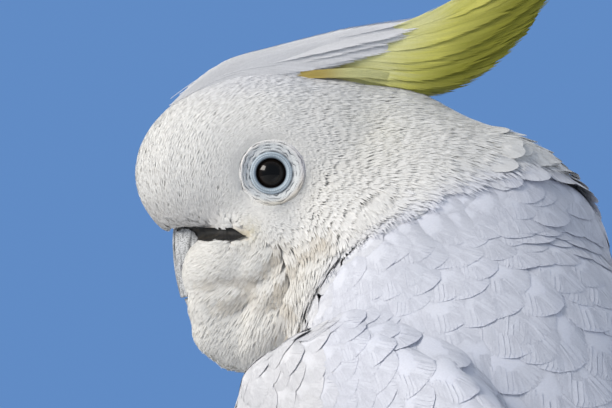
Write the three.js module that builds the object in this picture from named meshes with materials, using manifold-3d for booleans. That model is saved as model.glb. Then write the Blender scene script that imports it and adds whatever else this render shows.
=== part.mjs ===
// A sulphur-crested cockatoo standing at rest, life size, in millimetres, +Z up, the trunk facing -Y.
// The head is drawn down between the shoulders and turned to the bird's left, and the crest is folded.
// The bird's left is +X. Each piece is one closed solid, a small gap from the pieces that it touches.

import * as THREE from "three";
import { mergeVertices } from "three/addons/utils/BufferGeometryUtils.js";
import Module from "manifold-3d";

const wasm = await Module();
wasm.setup();

// ---- Driving dimensions -------------------------------------------------------------------------------------

const GAP = 0.3; // left between pieces that touch
const HEAD_TURN = THREE.MathUtils.degToRad(50); // towards the bird's left
const EYES_MIDDLE = new THREE.Vector3(32, -91, 206); // midway between the eyes, before centring
const EYE_RADIUS = 5.6; // of the whole ball
const EYE_OUT = 20; // ball's centre from the head's midline
const LID_OPENING = 4.2; // radius of the ball that shows
const BARE_RING = 11.5; // radius of the bare skin round the eye
const MOUTH = -20.5; // height of the brow's straight lower edge, from the eyes
const TAIL_LENGTH = 172;
const TAIL_FEATHERS = 12;
const PRIMARIES = 4; // that show in each folded wing
const SECONDARIES = 4;
const TARSUS_TOP = 36; // height of the ankle joint
const FEET_APART = 27; // each foot from the midline
const TOES = [
  // name, heading from straight ahead towards the outside, length, root radius
  { name: "inner_front", heading: -14, length: 30, radius: 4.4 },
  { name: "outer_front", heading: 16, length: 42, radius: 4.8 },
  { name: "outer_rear", heading: 152, length: 39, radius: 4.6 },
  { name: "inner_rear", heading: 196, length: 22, radius: 4.2 },
];

const COLOURS = {
  white: [0xf1f0ec, 0.85],
  yellow: [0xd9cf45, 0.8],
  bill: [0x4c4d4f, 0.55],
  eye: [0x120d0b, 0.08],
  lids: [0xc3d2de, 0.6],
  leg: [0x4a4a4c, 0.7],
  claw: [0x2c2b2b, 0.4],
};

// ---- Making solids ------------------------------------------------------------------------------------------

const SIDEWAYS = new THREE.Vector3(1, 0, 0);

/** A manifold-3d solid of a closed geometry, turned to face out. */
function solid(geometry) {
  const bare = geometry.clone();
  bare.deleteAttribute("normal");
  bare.deleteAttribute("uv");
  const merged = mergeVertices(bare, 1e-4);
  const build = (triVerts) =>
    new wasm.Manifold(
      new wasm.Mesh({ numProp: 3, vertProperties: new Float32Array(merged.attributes.position.array), triVerts }),
    );
  const triVerts = new Uint32Array(merged.index.array);
  const made = build(triVerts);
  return made.volume() > 0 ? made : build(triVerts.reverse());
}

/** The three.js geometry of a manifold-3d solid. */
function geometryOf(made) {
  const mesh = made.getMesh();
  const positions = new Float32Array(mesh.numVert * 3);
  for (let i = 0; i < mesh.numVert; i++) {
    const from = i * mesh.numProp;
    positions.set(mesh.vertProperties.subarray(from, from + 3), i * 3);
  }
  return new THREE.BufferGeometry()
    .setAttribute("position", new THREE.BufferAttribute(positions, 3))
    .setIndex(new THREE.BufferAttribute(new Uint32Array(mesh.triVerts), 1));
}

/** A closed surface through rings of points, with a single point at each end. */
function closedRings(rings, firstPoint, lastPoint) {
  const around = rings[0].length;
  const points = [firstPoint, ...rings.flat(), lastPoint];
  const at = (ring, k) => 1 + ring * around + (k % around);
  const index = [];
  for (let k = 0; k < around; k++) {
    index.push(0, at(0, k + 1), at(0, k));
    for (let r = 0; r + 1 < rings.length; r++) {
      index.push(at(r, k), at(r, k + 1), at(r + 1, k));
      index.push(at(r, k + 1), at(r + 1, k + 1), at(r + 1, k));
    }
    index.push(points.length - 1, at(rings.length - 1, k), at(rings.length - 1, k + 1));
  }
  return new THREE.BufferGeometry().setFromPoints(points).setIndex(index);
}

/** How much of its full size a loft has at t, when it rounds off over a share of its length at each end. */
function rounding(t, [startShare, endShare]) {
  const start = startShare > 0 ? Math.min(1, t / startShare) : 1;
  const end = endShare > 0 ? Math.min(1, (1 - t) / endShare) : 1;
  return Math.sqrt(1 - (1 - start) ** 2) * Math.sqrt(1 - (1 - end) ** 2);
}

/**
 * A body along a smooth line. Each station is [x, y, z, half width, height above, depth below]. The width runs
 * along side, which turns to sideEnd on the way, and above is side x the line's direction. grow makes it larger
 * on every side.
 */
function loft({ stations, side = SIDEWAYS, sideEnd = side, rings = 18, around = 24, caps = [0.15, 0.15], grow = 0 }) {
  const line = new THREE.CatmullRomCurve3(stations.map((s) => new THREE.Vector3(s[0], s[1], s[2])));
  const sizes = new THREE.CatmullRomCurve3(stations.map((s) => new THREE.Vector3(s[3], s[4], s[5])));
  const made = [];
  for (let i = 1; i < rings; i++) {
    const t = (1 - Math.cos((Math.PI * i) / rings)) / 2;
    const centre = line.getPoint(t);
    const ahead = line.getTangent(t);
    const across = side.clone().lerp(sideEnd, t);
    across.addScaledVector(ahead, -across.dot(ahead)).normalize();
    const above = across.clone().cross(ahead);
    const size = sizes.getPoint(t).multiplyScalar(rounding(t, caps)).addScalar(grow);
    made.push(
      Array.from({ length: around }, (_, k) => {
        const angle = (2 * Math.PI * k) / around;
        const rise = Math.sin(angle);
        return centre
          .clone()
          .addScaledVector(across, size.x * Math.cos(angle))
          .addScaledVector(above, rise * (rise > 0 ? size.y : size.z));
      }),
    );
  }
  const first = line.getPoint(0).addScaledVector(line.getTangent(0), -grow);
  const last = line.getPoint(1).addScaledVector(line.getTangent(1), grow);
  return solid(closedRings(made, first, last));
}

/** How far from a point, along a unit direction, an ellipsoid's far side lies; 0 where the line misses it. */
function reachOf({ at, radii }, from, direction) {
  const start = from.clone().sub(at).divide(radii);
  const step = direction.clone().divide(radii);
  const [a, b, c] = [step.lengthSq(), start.dot(step), start.lengthSq() - 1];
  const inside = b * b - a * c;
  return inside > 0 ? Math.max(0, (-b + Math.sqrt(inside)) / a) : 0;
}

/** The larger of two lengths, rounded off by up to a quarter of blend where they are close. */
function smoothMax(p, q, blend) {
  const near = Math.max(blend - Math.abs(p - q), 0) / blend;
  return Math.max(p, q) + (near * near * blend) / 4;
}

/** One smooth closed surface over several ellipsoids, seen from a point that lies inside them all together. */
function blendedBall({ lobes, from, blend, around = 44, rings = 32, grow = 0 }) {
  const ball = new THREE.SphereGeometry(1, around, rings).rotateX(Math.PI / 2);
  const positions = ball.attributes.position;
  const direction = new THREE.Vector3();
  for (let i = 0; i < positions.count; i++) {
    direction.fromBufferAttribute(positions, i).normalize();
    const reach = lobes.reduce((far, lobe) => smoothMax(far, reachOf(lobe, from, direction), blend), 0);
    positions.setXYZ(i, ...direction.multiplyScalar(reach + grow).add(from).toArray());
  }
  return solid(ball);
}

/** One feather as a blade: its midrib, half width, the thickness on each face, and its edge's direction. */
function feather({ midrib, halfWidth, above = 0.6, below = 0.6, grow = 0, tip = 0.35, ...shape }) {
  const stations = midrib.map((p, i) => [...p, halfWidth * (i ? 1 : 0.6), above, below]);
  return loft({ stations, rings: 5, around: 4, caps: [0.05, tip], grow, ...shape });
}

/** The largest single body of a solid that cutting may have left in pieces. */
function largest(made) {
  return made.decompose().reduce((best, one) => (one.volume() > best.volume() ? one : best));
}

const union = (solids) => solids.reduce((all, one) => all.add(one));
const cut = (from, ...tools) => largest(tools.reduce((left, tool) => left.subtract(tool), from));
const mirror = (made) => made.scale([-1, 1, 1]);

// ---- Head frame ---------------------------------------------------------------------------------------------

/** The turned head: x is its left, y is behind it and z is up, from midway between the eyes. */
const headToBody = new THREE.Matrix4().makeRotationZ(HEAD_TURN).setPosition(EYES_MIDDLE);

const placeHeadPiece = (made) => made.transform(headToBody.toArray());

/** A head point given as forward, left and up, in the trunk's frame. */
const fromHead = (forward, left, up) => new THREE.Vector3(left, -forward, up).applyMatrix4(headToBody);

/** A point in the head's own frame, from forward, left and up. */
const headPoint = (forward, left, up) => new THREE.Vector3(left, -forward, up);

/** An ellipsoid in the head's own frame, from its centre and radii, both forward, left and up. */
const lobe = (centre, [forward, left, up]) => ({
  at: headPoint(...centre),
  radii: new THREE.Vector3(left, forward, up),
});

/** Stations for a loft along the head's midline, from rows of forward, up, half width, above and below. */
const onMidline = (rows) => rows.map(([forward, up, ...sizes]) => [0, -forward, up, ...sizes]);

// ---- Trunk, neck and thighs ---------------------------------------------------------------------------------

/** From the shoulders down and back to the root of the tail, in the coat's outer shape. */
const trunkShape = (grow = 0) =>
  loft({
    stations: [
      [0, -62, 182, 30, 18, 24],
      [0, -47, 171, 46, 38, 36],
      [0, -28, 151, 60, 52, 50],
      [0, -6, 124, 64, 55, 56],
      [0, 20, 98, 57, 48, 54],
      [0, 47, 78, 44, 37, 40],
      [0, 76, 62, 28, 22, 22],
      [0, 106, 50, 14, 10, 9],
    ],
    rings: 13,
    around: 18,
    caps: [0.16, 0.1],
    grow,
  });

/** The nape, the sides of the neck and the long feathers that lie over the mantle, in the head's frame. */
const neckShape = (grow = 0) =>
  blendedBall({
    lobes: [
      lobe([-35, 0, -7], [39, 28, 38.5]),
      lobe([-32, 3, -34], [34, 33, 38]),
      lobe([-62, 14, -31], [54, 42, 48.5]),
    ],
    from: headPoint(-48, 8, -22),
    blend: 14,
    around: 18,
    rings: 13,
    grow,
  });

const thighShape = (grow = 0) =>
  loft({
    stations: [
      [31, -6, 94, 25, 26, 26],
      [30, 1, 70, 22, 25, 23],
      [FEET_APART + 1, 6, 52, 17, 19, 17],
      [FEET_APART, 8, TARSUS_TOP, 11, 12, 11],
    ],
    rings: 8,
    around: 12,
    caps: [0.2, 0.2],
    grow,
  });

// ---- Head ---------------------------------------------------------------------------------------------------

/** The brow, crown and back of the head, cut straight along the mouth. */
function craniumShape(grow = 0) {
  const ball = blendedBall({
    lobes: [
      lobe([17, 0, 0.5], [30.2, 22, 27.5]),
      lobe([4, 0, 3], [36, 24, 31.8]),
      lobe([-12, 0, -2], [40, 27, 36]),
      lobe([-26, 0, -8], [34, 31, 38.5]),
    ],
    from: headPoint(0, 0, 0),
    blend: 6,
    around: 22,
    rings: 16,
    grow,
  });
  const underBrow = new THREE.BoxGeometry(120, 60, 60).translate(0, -39, MOUTH - 30 - grow);
  return ball.subtract(solid(underBrow));
}

/** The ear coverts, throat and the loose cheek feathers that lie over the bill on both sides. */
const cheeksShape = (grow = 0) =>
  blendedBall({
    lobes: [-1, 1].flatMap((side) => [
      lobe([-6, side * 9, -26], [30, 22, 27]),
      lobe([8, side * 9, -41.5], [21.5, 13.5, 25]),
      lobe([11, side * 9, -32.5], [18, 11, 10.5]),
      lobe([-10, side * 4, -45], [28, 22, 23]),
    ]),
    from: headPoint(0, 0, -36),
    blend: 4,
    around: 18,
    rings: 13,
    grow,
  });

const upperBillShape = (grow = 0) =>
  loft({
    stations: onMidline([
      [18, -9, 9.5, 11, 11],
      [22.6, -19, 10, 10.4, 10.4],
      [23.8, -28, 9.4, 9.6, 9],
      [24, -36, 8, 8.2, 7.6],
      [22.6, -44, 6.2, 7, 5.8],
      [20.2, -51, 4, 5.4, 3.6],
      [17.6, -57.5, 1.6, 2, 1.4],
    ]),
    rings: 10,
    around: 12,
    caps: [0.12, 0.1],
    grow,
  });

const lowerBillShape = (grow = 0) =>
  loft({
    stations: onMidline([
      [-8, -30, 9, 8, 8],
      [0, -38, 10, 8.5, 8],
      [8, -45, 9.5, 7, 7],
      [14.5, -49, 7, 4.5, 5],
    ]),
    rings: 7,
    around: 10,
    caps: [0.2, 0.2],
    grow,
  });

const eyeShape = (sideSign, grow = 0) =>
  solid(new THREE.SphereGeometry(EYE_RADIUS + grow, 12, 7).translate(sideSign * EYE_OUT, 0, 0));

/** The dish of bare wrinkled skin round an eye, with the lid's rim at its middle. */
function eyeRingShape(sideSign) {
  const rim = EYE_OUT + 4.2;
  const profile = [
    [LID_OPENING + 1.4, rim - 1.8],
    [LID_OPENING, rim],
    [LID_OPENING + 1, rim + 0.5],
    [LID_OPENING + 3.2, rim + 0.1],
    [BARE_RING, rim - 1.3],
    [BARE_RING, rim - 3.4],
    [LID_OPENING + 1.4, rim - 1.8],
  ].map(([r, out]) => new THREE.Vector2(r, out));
  const dish = new THREE.LatheGeometry(profile, 15);
  return solid(dish.rotateZ(-sideSign * (Math.PI / 2)));
}

/** What is cut from the head for an eye and the bare skin round it. */
function socketShape(sideSign) {
  const profile = [
    [0, EYE_OUT - EYE_RADIUS - 0.8],
    [EYE_RADIUS + 0.6, EYE_OUT - 3],
    [EYE_RADIUS + 0.6, EYE_OUT + 1.6],
    [BARE_RING + GAP, EYE_OUT + 0.4],
    [BARE_RING + GAP, EYE_OUT + 20],
    [0, EYE_OUT + 20],
  ].map(([r, out]) => new THREE.Vector2(r, out));
  return solid(new THREE.LatheGeometry(profile, 15).rotateZ(-sideSign * (Math.PI / 2)));
}

// ---- Crest --------------------------------------------------------------------------------------------------

const curve = (points) => new THREE.CatmullRomCurve3(points.map(([forward, up]) => headPoint(forward, 0, up)));

/** The folded crest's lower and upper outlines on the midline, forward and up, from the brow to the tip. */
const crestLower = curve([
  [33, 22],
  [10, 30],
  [-12, 31],
  [-32, 29.5],
  [-52, 27],
  [-69.7, 34.3],
  [-84, 47],
  [-96, 61],
  [-108, 80],
]);
const crestUpper = curve([
  [36, 22],
  [18, 34.7],
  [-2, 39.5],
  [-26, 45.7],
  [-50, 51],
  [-69.7, 57.7],
  [-84, 64.5],
  [-97, 72.5],
  [-108, 80],
]);

/** One crest feather, at a share of the way up between the outlines and over a range of their length. */
function crestFeather({ height, start, end, left, splay = 0, halfWidth, thickness }) {
  const midrib = [0, 0.25, 0.5, 0.75, 1].map((t) => {
    const along = start + (end - start) * t;
    const point = crestLower.getPoint(along).lerp(crestUpper.getPoint(along), height);
    return [left + splay * t, point.y, point.z];
  });
  return feather({ midrib, halfWidth, above: thickness, below: thickness, rings: 7, tip: 0.5 });
}

const crestWhiteShape = () =>
  union([
    crestFeather({ height: 0.62, start: 0.02, end: 0.5, left: -4, halfWidth: 6.5, thickness: 3.2 }),
    crestFeather({ height: 0.62, start: 0.02, end: 0.5, left: 4, halfWidth: 6.5, thickness: 3.2 }),
    crestFeather({ height: 0.78, start: 0.05, end: 0.58, left: -2, splay: -1, halfWidth: 6.5, thickness: 3.2 }),
    crestFeather({ height: 0.86, start: 0.08, end: 0.6, left: 2, splay: 1, halfWidth: 6.5, thickness: 2.8 }),
  ]);

const crestYellowShape = () =>
  union([
    crestFeather({ height: 0.16, start: 0.26, end: 0.82, left: 2, splay: 2, halfWidth: 6, thickness: 3.8 }),
    crestFeather({ height: 0.34, start: 0.25, end: 0.9, left: -2, splay: -2, halfWidth: 6.5, thickness: 4 }),
    crestFeather({ height: 0.5, start: 0.24, end: 1, left: 1.5, splay: 1, halfWidth: 7, thickness: 4 }),
    crestFeather({ height: 0.68, start: 0.24, end: 0.97, left: -1.5, splay: -1, halfWidth: 6.5, thickness: 4 }),
    crestFeather({ height: 0.84, start: 0.25, end: 0.9, left: 1, halfWidth: 6, thickness: 3.6 }),
  ]);

// ---- Wings and tail -----------------------------------------------------------------------------------------

/** The left wing's folded arm with its coverts, before the trunk is cut from its inner side. */
const wingShape = (grow = 0) =>
  loft({
    stations: [
      [51, -69, 122, 13, 12, 18],
      [58, -52, 127, 16, 17, 30],
      [62, -20, 126, 15, 35, 41],
      [58, 18, 112, 14, 38, 38],
      [48, 54, 90, 12, 31, 28],
      [39, 84, 74, 9, 23, 19],
      [31, 108, 61, 5, 13, 11],
    ],
    rings: 10,
    around: 13,
    caps: [0.12, 0.16],
    grow,
  });

/** Flight feathers of the left wing, from the innermost and topmost, each one lower and further under. */
function flightFeathers({ count, root, rootStep, tip, tipStep, bow, halfWidth, grow }) {
  return union(
    Array.from({ length: count }, (_, i) => {
      const start = new THREE.Vector3(...rootStep).multiplyScalar(i).add(new THREE.Vector3(...root));
      const end = new THREE.Vector3(...tipStep).multiplyScalar(i).add(new THREE.Vector3(...tip));
      const middle = start.clone().lerp(end, 0.5).add(new THREE.Vector3(...bow));
      return feather({
        midrib: [start.toArray(), middle.toArray(), end.toArray()],
        halfWidth,
        side: new THREE.Vector3(-0.35, 0.2, 0.9),
        sideEnd: new THREE.Vector3(-0.75, 0.2, 0.6),
        above: 0.7,
        below: 0.7,
        grow,
      });
    }),
  );
}

const secondariesShape = (grow = 0) =>
  flightFeathers({
    count: SECONDARIES,
    root: [41, 46, 106],
    rootStep: [1.6, 1.3, -10],
    tip: [11, 141, 57],
    tipStep: [3.2, 3.3, -4.8],
    bow: [3.5, 0, 4],
    halfWidth: 12,
    grow,
  });

const primariesShape = (grow = 0) =>
  flightFeathers({
    count: PRIMARIES,
    root: [40, 58, 80],
    rootStep: [0.5, 2.7, -8],
    tip: [13.5, 160, 40],
    tipStep: [-0.8, 12, -5.3],
    bow: [0.5, 0, -1],
    halfWidth: 9.5,
    grow,
  });

/** The folded tail: a shallow roof of feathers, the middle pair on top. */
function tailShape() {
  const root = new THREE.Vector3(0, 62, 58);
  const slope = THREE.MathUtils.degToRad(17);
  const feathers = [];
  for (let i = 0; i < TAIL_FEATHERS / 2; i++) {
    const turn = THREE.MathUtils.degToRad(0.6 + i);
    const long = TAIL_LENGTH - 0.7 * i * i;
    for (const sign of [-1, 1]) {
      const midrib = [0, 0.5, 1].map((t) => [
        sign * (2.5 + i * 1.1 + Math.sin(turn) * long * t),
        root.y + Math.cos(turn) * Math.cos(slope) * long * t,
        root.z - i * 1.15 - Math.sin(slope) * long * t,
      ]);
      feathers.push(feather({ midrib, halfWidth: 11, above: 0.7, below: 0.7, tip: 0.14 }));
    }
  }
  return union(feathers);
}

// ---- Legs and feet ------------------------------------------------------------------------------------------

const ABOVE_FLOOR = solid(new THREE.BoxGeometry(400, 400, 100).translate(0, 0, 50));

const tarsusShape = (grow = 0) =>
  loft({
    stations: [
      [FEET_APART, 8, TARSUS_TOP, 5.4, 5.6, 5.2],
      [FEET_APART, 5, 24, 4.6, 4.8, 4.6],
      [FEET_APART, 0, 12, 5, 5.2, 5.2],
      [FEET_APART, -3, 5.4, 6, 5.6, 5.4],
    ],
    rings: 7,
    around: 10,
    caps: [0.15, 0.3],
    grow,
  });

/** The point at a length along a toe from where it leaves the foot, at a height over the floor. */
function alongToe(toe, along, height) {
  const heading = THREE.MathUtils.degToRad(toe.heading);
  return [FEET_APART + Math.sin(heading) * along, -3 - Math.cos(heading) * along, height];
}

/** One toe lying on the floor, thick at each joint, cut flat where it bears on the floor. */
function toeShape(toe, grow = 0) {
  const stations = [0, 0.2, 0.4, 0.6, 0.8, 1].map((t, i) => {
    const radius = toe.radius * (1 - 0.32 * t) * (i % 2 ? 0.9 : 1.04);
    return [...alongToe(toe, toe.length * t, radius * 0.8), radius, radius, radius];
  });
  return loft({ stations, side: toeSide(toe), rings: 6, around: 6, caps: [0.1, 0.12], grow });
}

const toeSide = (toe) => {
  const heading = THREE.MathUtils.degToRad(toe.heading);
  return new THREE.Vector3(Math.cos(heading), Math.sin(heading), 0);
};

/** The claw that curves down from a toe's end and just clears the floor. */
function clawShape(toe) {
  const root = toe.radius * 0.62;
  const stations = [
    [-3, root + 1, root],
    [2, root + 1.6, root * 0.86],
    [7, root + 0.4, root * 0.58],
    [10.5, 1, 0.5],
  ].map(([beyond, height, r]) => [...alongToe(toe, toe.length + beyond, height), r, r, r]);
  return loft({ stations, side: toeSide(toe), rings: 5, around: 5, caps: [0.2, 0.05] });
}

// ---- Putting the bird together ------------------------------------------------------------------------------

const pieces = new Map();
const keep = (name, made, colour) => pieces.set(name, { made, colour });

/** Adds a left piece, and its mirror image on the right. */
function keepPair(name, made, colour) {
  keep(`${name}_left`, made, colour);
  keep(`${name}_right`, mirror(made), colour);
}

const trunkGrown = trunkShape(GAP);
const neckGrown = placeHeadPiece(neckShape(GAP));

// Head pieces are cut in the head's own frame and then placed.
const upperBillGrown = upperBillShape(GAP);
const lowerBillGrown = lowerBillShape(GAP);
const sockets = [1, -1].map(socketShape);
const head = cut(craniumShape().add(cheeksShape()), upperBillGrown, lowerBillGrown, ...sockets);
const headGrown = placeHeadPiece(craniumShape(GAP).add(cheeksShape(GAP)));
keep("head", placeHeadPiece(head), "white");
keep("upper_bill", placeHeadPiece(upperBillShape()), "bill");
keep("lower_bill", placeHeadPiece(cut(lowerBillShape(), upperBillGrown)), "bill");
for (const [name, side] of [
  ["left", 1],
  ["right", -1],
]) {
  keep(`eye_${name}`, placeHeadPiece(eyeShape(side)), "eye");
  keep(`eye_ring_${name}`, placeHeadPiece(eyeRingShape(side)), "lids");
}
const crestWhite = placeHeadPiece(crestWhiteShape());
const crestYellow = placeHeadPiece(crestYellowShape());
keep("crest_front", cut(crestWhite, headGrown, neckGrown), "white");
keep("crest_back", cut(crestYellow, crestWhite, headGrown, neckGrown), "yellow");

keep("neck", cut(placeHeadPiece(neckShape()), headGrown, trunkGrown), "white");
keep("trunk", cut(trunkShape(), headGrown), "white");
keepPair("thigh", cut(thighShape(), trunkGrown, wingShape(GAP)), "white");

keepPair("wing", cut(wingShape(), trunkGrown, headGrown, neckGrown), "white");
const leftOfMidline = solid(new THREE.BoxGeometry(200, 400, 400).translate(100 + GAP, 0, 200));
const secondaries = secondariesShape().intersect(leftOfMidline);
const primaries = primariesShape().intersect(leftOfMidline);
keepPair("secondaries", cut(secondaries, wingShape(GAP), trunkGrown), "white");
keepPair("primaries", cut(primaries, wingShape(GAP), trunkGrown, secondariesShape(GAP)), "white");
const flightGrown = secondariesShape(GAP).add(primariesShape(GAP));
keep("tail", cut(tailShape(), trunkGrown, flightGrown, mirror(flightGrown)), "white");

keepPair("tarsus", cut(tarsusShape(), thighShape(GAP)).intersect(ABOVE_FLOOR), "leg");
const tarsusGrown = tarsusShape(GAP);
const madeToes = [];
for (const toe of TOES) {
  const made = cut(toeShape(toe), tarsusGrown, ...madeToes).intersect(ABOVE_FLOOR);
  madeToes.push(toeShape(toe, GAP));
  keepPair(`toe_${toe.name}`, made, "leg");
  keepPair(`claw_${toe.name}`, cut(clawShape(toe), toeShape(toe, GAP)), "claw");
}

// ---- The model, centred over the floor -----------------------------------------------------------------------

const bird = new THREE.Group();
for (const [name, { made, colour }] of pieces) {
  const [tint, roughness] = COLOURS[colour];
  const material = new THREE.MeshStandardMaterial({ color: tint, roughness, metalness: 0 });
  const mesh = new THREE.Mesh(geometryOf(made), material);
  mesh.name = name;
  bird.add(mesh);
}
const extent = new THREE.Box3().setFromObject(bird);
const middle = extent.getCenter(new THREE.Vector3());
bird.position.set(-middle.x, -middle.y, -extent.min.z);

export default bird;
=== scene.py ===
# A sulphur-crested cockatoo standing at rest, life size, with the head turned to its left.
# One skin lies under a coat of solid plumes, whose barbs are separate strips. Metres, +Z up.

import math

import bmesh
import bpy
import numpy as np
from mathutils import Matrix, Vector
from mathutils.bvhtree import BVHTree
from mathutils.kdtree import KDTree


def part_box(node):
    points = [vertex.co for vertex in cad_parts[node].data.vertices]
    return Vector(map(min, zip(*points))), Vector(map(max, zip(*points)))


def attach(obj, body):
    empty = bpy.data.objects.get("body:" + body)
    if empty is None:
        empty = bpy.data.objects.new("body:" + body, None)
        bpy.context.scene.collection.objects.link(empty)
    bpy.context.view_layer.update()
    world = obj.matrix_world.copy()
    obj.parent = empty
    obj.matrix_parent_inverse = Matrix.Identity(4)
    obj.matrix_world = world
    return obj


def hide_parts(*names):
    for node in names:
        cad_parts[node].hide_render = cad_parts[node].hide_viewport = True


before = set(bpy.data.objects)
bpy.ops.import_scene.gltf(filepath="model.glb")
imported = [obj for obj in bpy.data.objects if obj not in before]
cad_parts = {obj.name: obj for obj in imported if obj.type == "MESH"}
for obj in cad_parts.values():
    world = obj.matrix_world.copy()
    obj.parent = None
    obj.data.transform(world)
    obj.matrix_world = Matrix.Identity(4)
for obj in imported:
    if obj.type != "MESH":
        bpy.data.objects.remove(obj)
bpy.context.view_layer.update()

MM = 0.001
UP = np.array([0.0, 0.0, 1.0])
SIDES = ((1, "left"), (-1, "right"))
rng = np.random.default_rng(1788)

# ---- The head's own axes ----


def middle_of(node):
    low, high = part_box(node)
    return np.array((low + high) / 2)


EYES = (middle_of("eye_left") + middle_of("eye_right")) / 2
LEFT = middle_of("eye_left") - middle_of("eye_right")
LEFT = LEFT / np.linalg.norm(LEFT)
FORWARD = np.cross(LEFT, UP)
HEAD_AXES = np.array([FORWARD, LEFT, UP])
EYES_IN_BODY = np.array([32.0, -91.0, 206.0])  # where the body's own measures put the eyes, in mm


def from_head(points):
    """Places given forward, left and up from between the eyes, in mm."""
    return EYES + MM * np.asarray(points, float) @ HEAD_AXES


def to_head(points):
    return (np.asarray(points) - EYES) @ HEAD_AXES.T / MM


def from_body(points):
    """Places given in mm from under the middle of the trunk."""
    return EYES + MM * (np.asarray(points, float) - EYES_IN_BODY)


def to_body(points):
    return (np.asarray(points) - EYES) / MM + EYES_IN_BODY


def turned(directions):
    """Directions given forward, left and up, in the frame's own axes."""
    return np.asarray(directions, float) @ HEAD_AXES


# ---- Sizes, in mm ----

BARE_RING = 10.5  # radius of the bare skin round the eye
MOUTH_LINE = -20.3  # height of the slit between brow and cheek
SOCKET = 19.5  # how far from the midline the flesh lies behind the lids
COAT_SHARE = 0.2  # depth of the coat, as a share of its plumes' length
DEEPEST_COAT = 3.4
SKIN_VOXEL = 1.15
TAIL_PLUMES = 12
FLIGHT_PLUMES = 9  # primaries and secondaries that show in each folded wing
PATCH = 0.003  # width of one plume's place on the map
LARGEST_PIECE = 190_000  # triangles

# ---- Small sums on arrays of vectors ----


def unit(vectors):
    return vectors / np.maximum(np.linalg.norm(vectors, axis=-1, keepdims=True), 1e-12)


def along_surface(vectors, normals):
    """The part of each vector that lies in the surface, at length 1."""
    return unit(vectors - normals * np.sum(vectors * normals, axis=-1, keepdims=True))


def ramp(low, high, values):
    """0 under low, 1 over high and smooth between."""
    t = np.clip((np.asarray(values, float) - low) / (high - low), 0, 1)
    return t * t * (3 - 2 * t)


def bump(values, width):
    return np.exp(-((np.asarray(values) / width) ** 2))


def curve_weights(places, count):
    """Weights of a curve's evenly spaced points at places from 0 to 1, as a Catmull-Rom spline."""
    weights = np.zeros((len(places), count))
    at = np.clip(places, 0, 1) * (count - 1)
    first = np.minimum(at.astype(int), count - 2)
    t = at - first
    parts = [
        (first - 1, -0.5 * t + t**2 - 0.5 * t**3),
        (first, 1 - 2.5 * t**2 + 1.5 * t**3),
        (first + 1, 0.5 * t + 2 * t**2 - 1.5 * t**3),
        (first + 2, -0.5 * t**2 + 0.5 * t**3),
    ]
    rows = np.arange(len(places))
    for index, weight in parts:
        np.add.at(weights, (rows, np.clip(index, 0, count - 1)), weight)
    return weights


def on_curve(points, places):
    points = np.asarray(points, float)
    return curve_weights(np.asarray(places, float), len(points)) @ points


WAVE_COUNT = 7
WAVE_GAIN = 1.6  # brings the mean of the waves to about -1 to 1


def waves(points, size, seed):
    """Slow smooth noise with features of about this size in mm."""
    own = np.random.default_rng(seed)
    total = 0
    for _ in range(WAVE_COUNT):
        heading = own.normal(size=3)
        heading /= np.linalg.norm(heading)
        pitch = own.uniform(0.7, 1.5) * 2 * math.pi / (size * MM * 2)
        total = total + np.sin(points @ heading * pitch + own.uniform(0, 2 * math.pi))
    return total / WAVE_COUNT * WAVE_GAIN


def angles_round(count):
    return np.arange(count) * 2 * math.pi / count


# ---- Meshes ----


def make_mesh(name, points, triangles):
    mesh = bpy.data.meshes.new(name)
    mesh.vertices.add(len(points))
    mesh.vertices.foreach_set("co", np.asarray(points, np.float32).ravel())
    mesh.loops.add(len(triangles) * 3)
    mesh.loops.foreach_set("vertex_index", np.asarray(triangles, np.int32).ravel())
    mesh.polygons.add(len(triangles))
    mesh.polygons.foreach_set("loop_start", np.arange(0, len(triangles) * 3, 3, dtype=np.int32))
    mesh.update(calc_edges=True)
    mesh.shade_smooth()
    return mesh


def show(mesh, material, replaced=()):
    """Puts a mesh in the scene as a piece of the bird."""
    piece = bpy.data.objects.new(mesh.name, mesh)
    bpy.context.scene.collection.objects.link(piece)
    piece.data.materials.append(material)
    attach(piece, "root")
    if replaced:
        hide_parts(*replaced)
    return piece


def paint(mesh, colours):
    layer = mesh.attributes.new("plumage", "FLOAT_COLOR", "POINT")
    rgba = np.concatenate([colours, np.ones((len(colours), 1))], axis=1)
    layer.data.foreach_set("color", rgba.astype(np.float32).ravel())


def add_map(mesh, uv_of_points, triangles):
    layer = mesh.uv_layers.new(name="OFBake")
    uv = np.asarray(uv_of_points, np.float32)[np.asarray(triangles).ravel()]
    layer.data.foreach_set("uv", uv.ravel())


def mesh_arrays(mesh):
    points = np.empty(len(mesh.vertices) * 3, np.float32)
    mesh.vertices.foreach_get("co", points)
    mesh.calc_loop_triangles()
    triangles = np.empty(len(mesh.loop_triangles) * 3, np.int32)
    mesh.loop_triangles.foreach_get("vertices", triangles)
    return points.reshape(-1, 3).astype(float), triangles.reshape(-1, 3)


def normals_of(points, triangles):
    a, b, c = (points[triangles[:, i]] for i in range(3))
    faces = np.cross(b - a, c - a)
    total = np.zeros_like(points)
    for i in range(3):
        for axis in range(3):
            total[:, axis] += np.bincount(triangles[:, i], faces[:, axis], len(points))
    return unit(total)


def edges_of(triangles):
    pairs = np.concatenate([triangles[:, [0, 1]], triangles[:, [1, 2]], triangles[:, [2, 0]]])
    return np.unique(np.sort(pairs, axis=1), axis=0)


def smoothed(points, edges, share, rounds):
    """Moves each point some share of the way to the middle of its neighbours, round after round."""
    points = points.copy()
    ends = np.concatenate([edges[:, 0], edges[:, 1]])
    others = np.concatenate([edges[:, 1], edges[:, 0]])
    count = np.maximum(np.bincount(ends, minlength=len(points)), 1)
    for _ in range(rounds):
        for axis in range(3):
            mean = np.bincount(ends, points[others, axis], len(points)) / count
            points[:, axis] += share * (mean - points[:, axis])
    return points


def tree_of(points, triangles):
    return BVHTree.FromPolygons(points.tolist(), triangles.tolist())


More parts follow.
